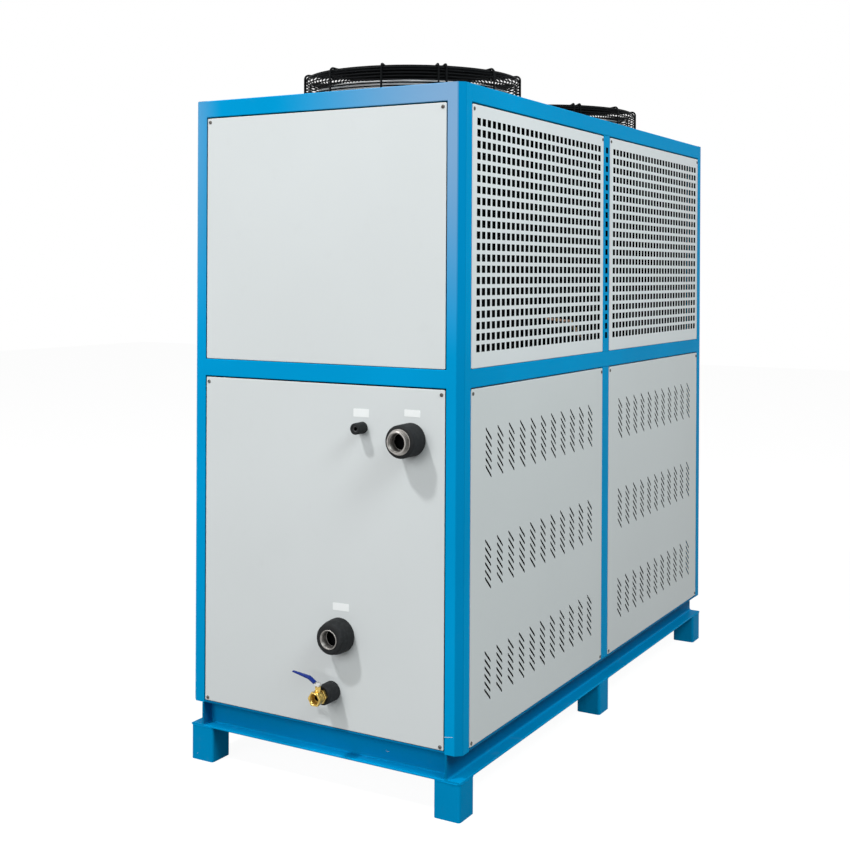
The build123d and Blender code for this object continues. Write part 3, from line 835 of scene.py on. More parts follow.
@dataclass
class Base:
    """Feet of square tube under a ring of rolled angles, with a cross member."""

    foot: float = 70.0
    foot_wall: float = 4.0
    foot_height: float = 88.0
    leg: float = 63.5
    toe: float = 40.0
    thick: float = 5.0
    seam: float = 52.0

    def build_feet(self) -> None:
        """Six tubes, each with a bead of weld under the angle that it carries."""
        shape = Shape()
        half = self.foot / 2
        square = rectangle(-1, 1, -1, 1)
        outer = round_corners(square * half, 7.0, 5)
        inner = round_corners(square * (half - self.foot_wall), 3.5, 5)
        low = np.stack((outer, outer, inner, inner))
        heights = np.array((0.0, self.foot_height, self.foot_height, 0.0))[:, None, None]
        ring = np.concatenate((low, np.broadcast_to(heights, (*low.shape[:2], 1))), -1)
        bead = np.concatenate((outer, np.full((len(outer), 1), self.foot_height - 1.0)), -1)
        for x in (-1, 1):
            for y in (-1, 0, 1):
                centre = np.array((x * (HALF_WIDTH - half), CENTRE_Y + y * (HALF_LENGTH - half), 0.0))
                shape.surface(ring + centre, wrap_rows=True, wrap_columns=True)
                bumps = 1.5 + 0.5 * np.sin(np.arange(len(bead)) * 2.4 + x + y)
                shape.wire(bead * (0.985, 0.985, 1.0) + centre, UP, bumps, closed=True)
        shape.piece("feet_tubes", [BASE_BLUE], ["feet"])

    def section(self) -> np.ndarray:
        """The angle's section: outer toe at x = 0, the upright leg at the inner end."""
        corners = (
            (-self.toe, 0.0), (0.0, 0.0), (0.0, self.thick), (-self.toe + self.thick, self.thick),
            (-self.toe + self.thick, self.leg), (-self.toe, self.leg),
        )
        return round_corners(corners, (0.8, 0.8, 3.0, 7.0, 2.6, 0.8), 5)

    def build_members(self) -> None:
        """Long angles with their toes outwards, end angles between them, a cross angle."""
        section = self.section()
        for name, sign in (("right", 1), ("left", -1)):
            shape = Shape()
            x, z = sign * HALF_WIDTH, self.foot_height
            ends = [(x, CENTRE_Y + y * HALF_LENGTH, z) for y in (-1, 1)]
            shape.prism(section, *ends, (sign, 0, 0), UP)
            shape.piece(f"base_angle_{name}", [WEB_SHADED_BLUE], [f"base_member_{name}"])
        shape = Shape()
        run = HALF_WIDTH - self.toe
        for sign in (-1, 1):
            y = CENTRE_Y + sign * HALF_LENGTH
            ends = [(x * run, y, self.foot_height) for x in (-1, 1)]
            shape.prism(section, *ends, (0, sign, 0), UP)
            for x in (-1, 1):
                foot = np.array((x * (run - 0.5), y - sign * (self.toe - 6), self.foot_height + 6))
                line = np.linspace(foot, foot + UP * self.seam, 26)
                shape.wire(line, (1, 0, 0), 1.6 + 0.5 * np.sin(np.arange(26) * 1.9))
        shape.piece("base_end_angles", [BASE_BLUE], ["base_end_members"])
        shape = Shape()
        ends = [(x * run, CENTRE_Y + self.toe / 2, self.foot_height) for x in (-1, 1)]
        shape.prism(section, *ends, (0, 1, 0), UP)
        shape.piece("base_cross_angle", [BASE_BLUE], ["base_cross_member"])

    def build_marks(self) -> None:
        """Small wear: a chipped tick on the end angle, a scratch on the near post, a nick in a foot."""
        shape = Shape()
        wall = Side.FRONT.value
        web = self.thick - self.toe
        for start, end, out in (
            ((175.0, 117.0), (177.5, 113.0), web), ((177.5, 113.0), (184.0, 115.0), web),
            ((350.0, 190.5), (376.0, 194.5), 0.0), ((-376.0, 15.0), (-373.0, 16.5), 0.0),
        ):
            stroke = np.array([wall.place(*point, out) for point in (start, end)])
            shape.wire(stroke, UP, 0.55)
        shape.piece("wear_marks", [CHIP])


# Housing frame


@dataclass
class HousingFrame:
    """Corner posts with a chamfer, middle posts and three rings of rails."""

    post_x: float = 41.0
    post_y: float = 43.5
    bottom: float = 151.5
    top: float = 1700.0
    mid_half: float = 22.5
    channel: float = 20.0
    seat: float = 18.0
    lip: float = 15.0
    lip_wall: float = 2.5
    hole: float = 17.0
    edge_radius: float = 2.2
    bottom_rail: float = 6.0
    mid_rail: float = 43.5
    top_rail: float = 43.0

    @property
    def inner(self) -> Pair:
        """Half the width and half the length between the corner posts."""
        return HALF_WIDTH - self.post_x, HALF_LENGTH - self.post_y

    def lips(self, shape: Shape, wall: Wall, openings: Line, bay: Bay) -> None:
        """Strips behind the panel edges of one bay, upright and level ones.

        Args:
            shape: Where the faces go.
            wall: The side.
            openings: Start and end of each opening along the wall.
            bay: The bay's bottom and height.
        """
        half = self.lip_wall / 2
        strip = rectangle(0, self.lip, -half, half)
        out = -self.seat - half
        # the strips take finish 1, painted shade in the gaps round the panels
        for low, high in openings:
            for x, sign in ((low, 1), (high, -1)):
                ends = [wall.place(x, z, out) for z in (bay.bottom, bay.top)]
                shape.prism(strip * (sign, 1), *ends, wall.across, wall.outward, slot=1)
            for z, sign in ((bay.bottom, 1), (bay.top, -1)):
                ends = [wall.place(x, z, out) for x in (low + self.lip, high - self.lip)]
                shape.prism(strip * (sign, 1), *ends, UP, wall.outward, slot=1)

    def build_posts(self) -> None:
        """Four corner posts: a folded five-sided section carried up."""
        shape = Shape()
        inner_x, inner_y = self.inner
        cut_x, cut_y = HALF_WIDTH - CORNER_CUT, HALF_LENGTH - CORNER_CUT
        corners = (
            (inner_x, HALF_LENGTH), (cut_x, HALF_LENGTH),
            (HALF_WIDTH, cut_y), (HALF_WIDTH, inner_y), self.inner,
        )
        profile = round_corners(corners, (0.2, 3.0, 3.0, 0.2, 2.2), 4)
        for x in (-1, 1):
            for y in (-1, 1):
                shape.prism(profile * (x, y), *upright(self.bottom, self.top))
        for bay in (LOWER, UPPER):
            for side in ENDS:
                self.lips(shape, side.value, [(-inner_x, inner_x)], bay)
            for side in LONG_SIDES:
                self.lips(shape, side.value, [(-inner_y, -self.mid_half), (self.mid_half, inner_y)], bay)
        shape.piece("frame_posts", [BLUE, PAINTED_SHADE], ["corner_posts"])

    def build_mid_posts(self) -> None:
        """Middle posts: a plain box section below, a folded one with square holes above."""
        shape, holed = Shape(), Shape()
        half = self.mid_half
        box = round_corners(rectangle(-half, half, -self.post_x, 0), self.edge_radius, 4)
        sheet = FoldedSheet(2 * half, UPPER.height, self.channel, self.edge_radius)
        middle = UPPER.bottom + UPPER.height / 2
        column, rows = spans(np.zeros(1), self.hole), spans(HOLE_ROWS - middle, self.hole)
        for side in LONG_SIDES:
            wall = side.value
            ends = [wall.place(0, z, 0) for z in (LOWER.bottom, LOWER.top)]
            shape.prism(box, *ends, wall.across, wall.outward)
            sheet.build(holed, wall, (0.0, middle), column, rows, flange_rows=False)
        shape.piece("mid_posts_lower", [BLUE], ["mid_posts"])
        holed.piece("mid_posts_upper", [BLUE, PAINTED_SHADE], ["mid_posts"], sheet=2.0)

    def build_rails(self) -> None:
        """Rails between the posts, square tube with small outside corners."""
        inner_x, inner_y = self.inner
        runs = [(side.value, inner_x, self.post_y) for side in ENDS]
        runs += [(side.value, inner_y, self.post_x) for side in LONG_SIDES]
        for name, finish, low, height in (
            # the bottom rails take the painted shade
            ("bottom_rails", SHADE_BLUE, self.bottom, self.bottom_rail),
            ("mid_rails", BLUE, LOWER.top, self.mid_rail),
            ("top_rails", BLUE, UPPER.top, self.top_rail),
        ):
            shape = Shape()
            for wall, half, deep in runs:
                section = rectangle(-deep, 0, 0, height)
                section = round_corners(section, min(self.edge_radius, height / 3), 4)
                ends = [wall.place(x, low, 0) for x in (-half, half)]
                shape.prism(section, *ends, wall.outward, UP)
            shape.piece(f"frame_{name}", [finish], [name])


# Panels


@dataclass
class Panels:
    """Folded panels that lie flush in the bays, and the screws that hold them."""

    end_half: float = 354.0
    side_start: float = 22.5
    side_end: float = 831.5
    gap: float = 3.0
    foot_gap: float = 1.0
    wall: float = 1.5
    hole: float = 17.5
    pitch: float = 26.4
    hole_columns: int = 29
    slot_columns: int = 11
    slot_pitch: float = 62.4
    slot_run: float = 32.0
    slot_drop: float = 29.5
    slot_rows: int = 6
    slot_rise: float = 17.83
    slot_half: float = 3.5
    band_tops: Point = (897.0, 631.6, 366.7)
    end_screws: Spot = (342.0, -342.0)
    end_screw_heights: Spot = (1644.0, 979.0, 166.0)
    side_screws: Spot = (-820.0, -32.5, 32.5, 820.0)
    side_screw_heights: Spot = (1643.0, 980.0, 167.0)

    def sheet(self, width: float, bay: Bay) -> tuple[FoldedSheet, float]:
        """The sheet that fills an opening, and the height of its middle."""
        height = bay.height - self.gap - self.foot_gap
        return FoldedSheet(width - 2 * self.gap, height), bay.bottom + self.foot_gap + height / 2

    def build_ends(self) -> None:
        """Plain panels on the two ends."""
        for side in ENDS:
            for level, bay in (("upper", UPPER), ("lower", LOWER)):
                shape = Shape()
                sheet, middle = self.sheet(2 * self.end_half, bay)
                sheet.build(shape, side.value, (0.0, middle))
                name = f"{level}_{side.name.lower()}"
                shape.piece(f"panel_{name}", [PANEL, PAINTED_SHADE], [f"end_panel_{name}"], sheet=self.wall)

    def build_grilles(self) -> None:
        """Side panels full of square holes."""
        sheet, middle = self.sheet(self.side_end - self.side_start, UPPER)
        columns = spans(spread(self.hole_columns, self.pitch), self.hole)
        rows = spans(HOLE_ROWS - middle, self.hole)
        for side, name, centre in self.side_places():
            shape = Shape()
            sheet.build(shape, side.value, (centre, middle), columns, rows)
            shape.piece(f"grille_{name}", [LIT_GRILLE, PAINTED_SHADE], [f"grille_panel_{name}"], sheet=self.wall)

    def side_places(self) -> list[tuple[Side, str, float]]:
        """Side, name and middle of each bay of the long sides."""
        centre = (self.side_start + self.side_end) / 2
        bays = product(LONG_SIDES, (("a", -centre), ("b", centre)))
        return [(side, f"{side.name.lower()}_{row}", place) for side, (row, place) in bays]

    def slotted(self, shape: Shape, wall: Wall, centre: float, mirrored: bool) -> None:
        """Adds a side panel cut with stacks of slanting slots.

        The lattice is sheared: a line through a slot drops along it by the slot's drop and
        climbs back before the next one, and the lines on both sides of a slot lie the slot's
        half thickness away, closing a little at its ends.

        Args:
            shape: Where the faces go.
            wall: The side.
            centre: The panel's middle along the wall.
            mirrored: Whether the slots run the other way along the wall.
        """
        sheet, middle = self.sheet(self.side_end - self.side_start, LOWER)
        along = np.array((0.0, 1.2, 3.0, self.slot_run - 3.0, self.slot_run - 1.2, self.slot_run))
        pinch = np.array((0.35, 0.8, 1.0, 1.0, 0.8, 0.35))
        columns = spread(self.slot_columns, self.slot_pitch)[:, None] - self.slot_run / 2 + along
        tops = np.array(sorted(self.band_tops))[:, None] - self.slot_half - middle
        slots = (tops - np.arange(self.slot_rows)[::-1] * self.slot_rise).reshape(-1, 1)
        x, deep_x, flat_x, hole_x = sheet.folded(columns, sheet.width / 2)
        z, deep_z, flat_z, hole_z = sheet.folded(slots + (0, 0), sheet.height / 2)
        drop = np.pad(np.tile(along, self.slot_columns), sheet.margin) * self.slot_drop / self.slot_run
        half = np.pad(np.tile(pinch, self.slot_columns), sheet.margin, constant_values=pinch[0])
        sign = np.pad(np.tile((-1.0, 1.0), len(slots)), sheet.margin)[:, None]
        lift = sign * half * self.slot_half - np.abs(sign) * drop
        keep = (flat_x | flat_z[:, None]) & ~(hole_x & hole_z[:, None])
        across = centre + (-x if mirrored else x)
        points = wall.place(across, middle + z[:, None] + lift, -(deep_x + deep_z[:, None]))
        faces = lattice_faces(len(z), len(x))[keep.reshape(-1)]
        shape.add(points, faces[:, ::-1] if mirrored else faces)

    def build_slotted(self) -> None:
        """Side panels with slanting slots; the far side mirrors the near one."""
        for side, name, centre in self.side_places():
            shape = Shape()
            self.slotted(shape, side.value, centre, mirrored=side is Side.LEFT)
            shape.piece(f"slotted_{name}", [PANEL, PAINTED_SHADE], [f"slotted_panel_{name}"], sheet=self.wall)

    def build_shade_partition(self) -> None:
        """A sheet of painted shade along the middle of the lower bay, which closes the view through the
        slots.
        """
        shape = Shape()
        reach, half = self.side_end - 8.0, self.wall / 2
        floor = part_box("floor_sheet")[1][2] / MM
        shape.prism(rectangle(-half, half, -reach, reach), *upright(floor, LOWER.top))
        shape.piece("painted_shade_partition", [PAINTED_SHADE])

    def screw(self, shape: Shape, wall: Wall, x: float, height: float, turn: float) -> None:
        """Adds a pan-head screw with a cross recess.

        The head is a dome whose height falls with the square of the radius; where a point
        lies in one of the two crossed slots it is let in by a millimetre.

        Args:
            shape: Where the faces go.
            wall: The side that it is driven into.
            x: Its place along the wall.
            height: Its height above the floor.
            turn: How far the cross is turned, in radians.
        """
        rim, crown, edge, half_slot, slot_end = 4.5, 2.3, 1.0, 0.5, 2.1
        radius = np.array((0.25, 0.9, 1.5, 2.0, 2.3, 3.1, 3.9, 4.3, rim, rim))[:, None]
        angle = turns(24)[None]
        out = np.where(radius < rim, crown - (crown - edge) * (radius / rim) ** 2, edge) + 0 * angle
        out[-1] = -0.3
        aside = np.minimum(np.abs(radius * np.cos(angle)), np.abs(radius * np.sin(angle)))
        out = np.where((aside < half_slot) & (radius < slot_end), out - 1.0, out)
        face = wall.place(x + radius * np.cos(angle + turn), height + radius * np.sin(angle + turn), out)
        shape.surface(face[::-1], wrap_columns=True, caps=True)

    def build_screws(self) -> None:
        """Screws at the panels' corners: the top two of an upper panel, four of a lower one."""
        rng = np.random.default_rng(7)
        ends = ("end_screws", ENDS, self.end_screws, self.end_screw_heights)
        sides = ("side_screws", LONG_SIDES, self.side_screws, self.side_screw_heights)
        for name, places, columns, heights in (ends, sides):
            shape = Shape()
            for side, x, height in product(places, columns, heights):
                self.screw(shape, side.value, x, height, rng.uniform(0, np.pi))
            shape.piece(name, [SCREW])


# Top


@dataclass
class Top:
    """Top sheet, air collars, wire guards, motors and rotors."""

    level: float = 1700.0
    spacing: float = 864.0
    throat: float = 254.0
    guard_radius: float = 298.0
    guard_top: float = 1786.0
    disc: float = 62.0
    disc_level: float = 1781.0
    pitch: float = 8.2
    wire: float = 2.0
    rib: float = 2.8
    bend: float = 13.0
    ribs: int = 12
    motor_top: float = 1779.0
    shaft_top: float = 1760.0
    hub_top: float = 1753.5
    blades: int = 5
    blade_level: float = 1717.5
    blade_pitch: float = 27.0
    blade_root: float = 64.0
    blade_tip: float = 247.0

    def fans(self) -> list[tuple[str, np.ndarray]]:
        """Name and middle of each fan, on the floor."""
        half = self.spacing / 2
        return [(name, np.array((0.0, CENTRE_Y + y, 0.0))) for name, y in (("front", -half), ("back", half))]

    def build_collars(self) -> None:
        """Spun collars: a flared foot, a straight wall and a rolled lip."""
        shape = Shape()
        lip = np.linspace(-0.5 * np.pi, 1.1 * np.pi, 12)
        throat = self.throat
        foot = [(throat + 9.0, 0.2), (throat + 9.0, 1.7), (throat + 4.0, 2.2), (throat + 2.0, 5.0)]
        roll = np.stack((throat + 4.5 + 3.0 * np.cos(lip), 47.0 + 3.0 * np.sin(lip)), -1)
        profile = np.concatenate((foot, [(throat + 2.0, 43.5)], roll, [(throat, 46.0), (throat, 0.2)]))
        for _, centre in self.fans():
            shape.turned(profile, centre + (0, 0, self.level), UP, 96, ring=True)
        shape.piece("fan_collars", [COLLAR], ["air_collars"])

    def hoop(
        self, shape: Shape, centre: np.ndarray, radius: float, level: float, thick: float, sides: int = 6
    ) -> None:
        """Adds a level ring of wire about a fan's axis.

        Args:
            shape: Where the faces go.
            centre: The fan's middle on the floor.
            radius: The ring's radius.
            level: Its height above the floor.
            thick: The wire's radius.
            sides: Points round the wire.
        """
        path = np.insert(polygon(96, radius), 2, level, axis=1)
        shape.wire(path + centre, UP, thick, sides, closed=True)

    def build_guards(self) -> None:
        """Wire guards: bent ribs over closely spaced rings and a pressed disc.

        The rib that points to the photographed corner is a close pair.
        """
        edge = self.guard_radius
        slope = (self.guard_top - self.disc_level) / (edge - self.disc)
        for (name, centre), pair in zip(self.fans(), (-45.0, -45.6)):
            shape = Shape()
            for radius in np.arange(self.disc + 5.0, edge - self.bend + 4, self.pitch):
                self.hoop(shape, centre, radius, self.guard_top - (edge - radius) * slope - 4.0, self.wire)
            for level in np.arange(self.level + 6.0, self.guard_top - self.bend, self.pitch):
                self.hoop(shape, centre, edge - 4.0, level, self.wire)
            self.hoop(shape, centre, edge - 6.2, self.guard_top - 8.0, 2.4, 8)
            self.hoop(shape, centre, edge - 3.5, self.level + 2.6, 2.6, 8)
            angles = [15.0 + 360.0 / self.ribs * step for step in range(self.ribs)]
            angles.remove(min(angles, key=lambda angle: abs((angle - pair + 180) % 360 - 180)))
            for angle in (*angles, pair - 2.0, pair + 2.0):
                out = heading(math.radians(angle))
                line = (
                    (edge, self.level + 0.5), (edge, self.guard_top + 2.0),
                    (edge - 3 * self.bend, self.guard_top - 1.5), (self.disc - 8.0, self.disc_level),
                )
                line = round_corners(line, (0, self.bend * 0.8, 20.0, 0), 6, closed=False)
                path = centre + line[:, :1] * out + line[:, 1:] * UP
                shape.wire(path, np.cross(out, UP), self.rib, 8)
            cap = [
                (0.4, 1.0), (16.0, 1.0), (18.0, 0.2), (24.0, 0.2), (27.0, 2.6), (self.disc - 4.0, 1.6),
                (self.disc, 0.0), (self.disc, -2.0), (self.disc - 6.0, -2.2), (0.4, -2.2),
            ]
            shape.turned(cap, centre + (0, 0, self.disc_level - 0.4), UP, 64)
            shape.piece(f"wire_guard_{name}", [WIRE], ["fan_guards"])

    def build_motors(self) -> None:
        """Motors: a flanged drum with cooling ribs, and its shaft."""
        for name, centre in self.fans():
            shape = Shape()
            drum = [
                (0.5, 0.0), (52.0, 0.0), (57.0, -2.0), (58.0, -5.0), (55.0, -6.5), (55.0, -13.5),
                (58.0, -15.0), (57.0, -19.0), (52.0, -20.0), (0.5, -20.0),
            ]
            shape.turned(drum, centre + (0, 0, self.motor_top), UP, 64)
            shaft = [(8.0, 0.0), (8.0, -33.0), (6.5, -34.0)]
            shape.turned(shaft, centre + (0, 0, self.shaft_top), UP, 32)
            for out in map(heading, turns(30)):
                rib = np.array(((54.0, -0.8), (57.8, -0.6), (57.8, 0.6), (54.0, 0.8)))
                ends = [centre + (0, 0, self.motor_top + z) for z in (-14.0, -6.0)]
                shape.prism(rib, *ends, out, np.cross(UP, out))
            shape.piece(f"motor_{name}", [MOTOR], ["fan_motors"])

    def build_rotors(self) -> None:
        """Rotors: a hub and cambered blades.

        A blade is a surface over radius r and chord share v. With y the place across the
        blade, x = sqrt(r^2 - y^2), and height = y tan(pitch) + camber (1 - s^2), where s is y
        over half the chord's run; the two skins lie half the thickness up and down.
        """
        pitch = math.radians(self.blade_pitch)
        run = 76.0 * math.cos(pitch)
        for name, centre in self.fans():
            shape = Shape()
            hub = [
                (9.0, 0.0), (52.0, 0.0), (63.0, -2.0), (66.0, -6.0), (66.0, -60.0), (64.0, -62.0),
                (60.0, -62.0), (58.0, -58.0), (58.0, -14.0), (9.0, -14.0),
            ]
            shape.turned(hub, centre + (0, 0, self.hub_top), UP, 64, ring=True)
            radius = np.linspace(self.blade_root, self.blade_tip, 14)[None, :]
            share = np.concatenate((np.linspace(0, 1, 11), np.linspace(1, 0, 11)))[:, None]
            skin = np.concatenate((np.full(11, 1.0), np.full(11, -1.0)))[:, None]
            reach = (radius - self.blade_root) / 184.0
            low, high = -(37.0 + 40.0 * reach**0.8), 37.0 + 18.0 * reach
            y = low + (high - low) * share
            x = np.sqrt(radius**2 - y**2)
            s = np.clip(y / run, -1.2, 1.2)
            z = y * math.tan(pitch) * (1.08 - 0.16 * reach) + 12.0 * (1 - s**2) + skin * 1.3
            z = z + self.blade_level
            for turn in turns(self.blades):
                cosine, sine = np.cos(turn), np.sin(turn)
                points = np.stack((x * cosine - y * sine, x * sine + y * cosine, z), -1) + centre
                shape.surface(points.transpose(1, 0, 2), wrap_columns=True, caps=True)
            shape.piece(f"rotor_{name}", [ROTOR], [f"fan_rotor_{name}"], f"{name}_fan", crease=40.0)

    def dress_sheets(self) -> None:
        """Zinc finish on the top and floor sheets, which keep their own shape."""
        for node in ("top_sheet", "floor_sheet"):
            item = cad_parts[node]
            item.data.materials.clear()
            item.data.materials.append(ZINC.material())


# Heat exchangers


@dataclass
class Coils:
    """Finned blocks and a copper line behind the grilles."""

    inner: float = 294.0
    outer: float = 354.0
    half: float = 825.5
    bottom: float = 1011.0
    top: float = 1671.0

    def build(self) -> None:
        """A block of fins between flat end plates, with plates along its top and bottom."""
        for name, sign in (("right", 1), ("left", -1)):
            shape = Shape()
            core = round_corners(rectangle(self.inner + 4, self.outer - 4, -1, 1), 0.2, 1)
            shape.prism(core * (sign, self.half - 3), *upright(self.bottom + 2, self.top - 2))
            plate = round_corners(rectangle(self.inner, self.outer, 0, 3), 0.8, 2) * (sign, 1)
            for y in (-self.half, self.half - 3):
                ends = [(0.0, CENTRE_Y + y, z) for z in (self.bottom, self.top)]
                shape.prism(plate, *ends, slot=1)
            for z in (self.bottom, self.top - 3):
                ends = [(0.0, CENTRE_Y + y, z) for y in (-self.half, self.half)]
                shape.prism(plate, *ends, (1, 0, 0), UP, slot=1)
            # the fins and their plates are painted shade
            shape.piece(f"coil_{name}", [SHADED_COIL, PAINTED_SHADE], [f"condenser_coil_{name}"])

    def build_tubes(self) -> None:
        """A copper line that drops to the coil's foot behind the first grille, with its clips."""
        shape = Shape()
        x = self.outer + 11.0
        line = ((-345.0, 1141.0), (-285.0, 1136.0), (-190.0, 1130.0), (-160.0, 1108.0), (-112.0, 1078.0))
        flat = round_corners(np.array(line) + (CENTRE_Y, 0), (0, 30.0, 30.0, 30.0, 0), 6, closed=False)
        path = np.concatenate((np.full((len(flat), 1), x), flat), -1)
        shape.wire(path, (1, 0, 0), 3.2, 12)
        for share in (0.15, 0.5, 0.9):
            place = path[int(share * (len(path) - 1))]
            shape.turned(rectangle(3.3, 5.2, -4.0, 4.0), place, (0, 1, 0), 16, ring=True, slot=1)
        shape.piece("copper_line", [COPPER, BRASS])


# Pipe ends


@dataclass
class PipeEnds:
    """Foam sleeves, steel sockets, the overflow tube and the drain valve with its lever."""

    face: float = CENTRE_Y - HALF_LENGTH
    outlet: Pair = (260.7, 870.5)
    inlet: Pair = (64.0, 385.0)
    overflow: Pair = (126.4, 889.9)
    drain: Pair = (42.0, 246.6)

    def at(self, port: Pair) -> Point:
        """A port's point in the panel's outer plane."""
        return (port[0], self.face, port[1])

    def pipe(self, shape: Shape, port: Pair, line: Line, sides: int = 64, slot: int = 0) -> None:
        """Adds a ring round a port from its closed line of (radius, distance from the panel)."""
        shape.turned(line, self.at(port), OUT_OF_END, sides, ring=True, slot=slot)

    def sleeve(self, shape: Shape, port: Pair, outer: Line, bore: float) -> None:
        """Adds a sleeve of foam: its outer line rounded, with a bore for the pipe.

        Args:
            shape: Where the faces go.
            port: The pipe's place.
            outer: Corners of (radius, distance from the panel, rounding) from the panel outwards.
            bore: Radius of the bore.
        """
        line = np.asarray(outer, float)
        reach = line[-1, 1]
        corners = np.concatenate((line[:, :2], ((bore, reach), (bore, 0.0))))
        radii = np.maximum((*line[:, 2], 1.0, 0.0), 0.05)
        self.pipe(shape, port, round_corners(corners, radii, 5), 72)

    def build_sleeves(self) -> None:
        """Four sleeves, squeezed a little where they were cut."""
        shape = Shape()
        self.sleeve(shape, self.outlet, ((39.5, 0, 0), (39.0, 56, 7.0)), 22.0)
        self.sleeve(shape, self.inlet, ((42.0, 0, 0), (41.0, 26, 18.0), (36.0, 49, 8.0)), 23.5)
        self.sleeve(shape, self.overflow, ((14.2, 0, 0), (13.8, 36, 3.5)), 7.0)
        self.sleeve(shape, self.drain, ((24.0, 0, 0), (23.6, 44, 4.0)), 12.0)
        shape.piece("foam_rolls", [FOAM], ["foam_sleeves"])

    def threaded(self, bore: float, mouth: float, depth: float, pitch: float) -> list[Pair]:
        """The line of a threaded bore from its mouth inwards: ridges of half the pitch."""
        turns = np.arange(mouth - 2.0, mouth - depth, -pitch / 2)
        ridge = bore + np.where(np.arange(len(turns)) % 2 == 0, 0.0, 1.1)
        return [(bore + 1.8, mouth), *zip(ridge, turns)]

    def throat(self, shape: Shape, port: Pair, radius: float, mouth: float, floor: float) -> None:
        """Adds the inner wall and bottom of a bore in black, as painted shade.

        Args:
            shape: Where the faces go, in finish 1.
            port: The pipe's place.
            radius: Radius of the wall.
            mouth: Distance of its outer edge from the panel.
            floor: Distance of its bottom.
        """
        back, rim = radius + 0.6, floor - 1.0
        wall = [(back, rim), (back, mouth), (radius, mouth), (radius, floor), (0.3, floor), (0.3, rim)]
        self.pipe(shape, port, wall, 48, slot=1)

    def build_sockets(self) -> None:
        """Steel sockets: a nut and threads round the outlet's mouth, a plain lip on the inlet."""
        shape = Shape()
        outer = [
            (21.0, -9.5), (29.0, -9.5), (29.0, -1.5), (22.0, -1.5), (22.0, 55.0), (30.0, 55.0),
            (30.4, 55.8), (30.4, 57.0), (29.8, 57.6), (25.0, 57.8), (25.0, 59.2), (28.2, 59.4),
            (28.2, 61.0), (25.0, 61.2), (25.0, 62.4), (27.0, 62.6), (27.0, 64.2), (24.6, 64.4),
            (24.6, 65.4), (25.8, 65.6), (25.8, 67.4), (25.0, 68.0), (22.6, 68.0), (22.0, 67.0), (22.0, 65.0),
        ]
        for radius, low in ((26.8, 57.8), (26.0, 61.2), (25.4, 64.4)):
            self.pipe(shape, self.outlet, rectangle(24.8, radius, low, low + 1.1), slot=1)
        self.pipe(shape, self.outlet, outer)
        # the threaded inner walls take the darker metal, painted shade inside the bore
        inner = [(23.4, 44.0), (23.4, 66.0), *self.threaded(20.4, 66.0, 22.0, 4.4), (18.6, 44.0)]
        self.pipe(shape, self.outlet, inner, slot=2)
        self.throat(shape, self.outlet, 18.4, 44.5, 36.0)
        outer = [
            (22.0, -9.5), (30.0, -9.5), (30.0, -1.5), (23.5, -1.5), (23.5, 50.2),
            (22.8, 51.0), (21.8, 51.0), (21.4, 50.4), (21.6, 49.0),
        ]
        self.pipe(shape, self.inlet, outer)
        inner = [(22.1, 27.0), (22.1, 49.8), *self.threaded(19.8, 49.8, 22.0, 4.4), (19.6, 27.0)]
        self.pipe(shape, self.inlet, inner, slot=2)
        self.throat(shape, self.inlet, 19.4, 27.5, 19.0)
        shape.piece("pipe_ends", [STEEL, PAINTED_SHADE, BORE_SHADED_METAL], ["pipe_sockets"])

    def build_overflow(self) -> None:
        """The overflow tube, a little inside its sleeve."""
        shape = Shape()
        line = [
            (5.0, -9.0), (7.0, -9.0), (7.0, 32.4), (6.4, 33.0),
            (5.6, 33.0), (5.0, 32.2), (5.0, 28.0), (4.8, -9.0),
        ]
        self.pipe(shape, self.overflow, line, 40)
        self.throat(shape, self.overflow, 4.6, 28.0, 2.0)
        shape.piece("overflow_pipe", [TUBE, PAINTED_SHADE], ["overflow_tube"])

    def build_valve(self) -> None:
        """Brass ball valve: hexagon, body, mouth with a thread, gland nut and stem."""
        shape = Shape()
        mouth = np.array(self.at(self.drain))
        shape.turned(rectangle(9.0, 12.0, -9.0, 45.0), mouth, OUT_OF_END, 48)
        for low, high, size, bore in ((44.0, 53.0, 18.0, 9.0), (66.0, 77.4, 18.4, 14.2)):
            flats = round_corners(polygon(6, size), 1.6, 3)
            flats = np.insert(flats, 1, 0.0, axis=1)
            inner = unit(flats) * bore
            rings = (flats * 0.95, flats, flats, flats * 0.93, inner, inner)
            outs = (low, low + 1.0, high - 1.2, high, high, low)
            rows = [ring - (0, out, 0) for ring, out in zip(rings, outs)]
            shape.surface(np.stack(rows) + mouth, wrap_rows=True, wrap_columns=True)
        body = [
            (8.0, 52.5), (13.0, 52.5), (15.4, 54.5), (16.2, 58.0), (16.2, 62.0), (15.2, 65.5),
            (14.4, 67.8), (13.9, 67.8), (13.9, 61.0), (8.0, 61.0),
        ]
        self.pipe(shape, self.drain, body, 48)
        lip = [(14.4, 61.5), (14.4, 77.6), (14.0, 78.0)]
        lip = [*lip, *self.threaded(12.0, 78.0, 15.0, 3.6), (7.6, 63.0), (7.6, 61.5)]
        self.pipe(shape, self.drain, lip, 48)
        self.throat(shape, self.drain, 7.0, 63.0, 57.0)
        neck = mouth - (0, 60.0, 0)
        gland = round_corners(polygon(6, 7.6), 0.8, 3)
        shape.turned([(0.5, 12.0), (8.0, 12.0), (8.0, 17.5), (7.0, 18.5), (0.5, 18.5)], neck, UP, 40)
        shape.prism(gland, neck + (0, 0, 18.0), neck + (0, 0, 26.5))
        shape.turned([(0.5, 26.0), (4.0, 26.0), (4.0, 32.0), (0.5, 32.0)], neck, UP, 24, slot=2)
        shape.piece("ball_valve", [BRASS, PAINTED_SHADE, CHROME], ["drain_valve"])

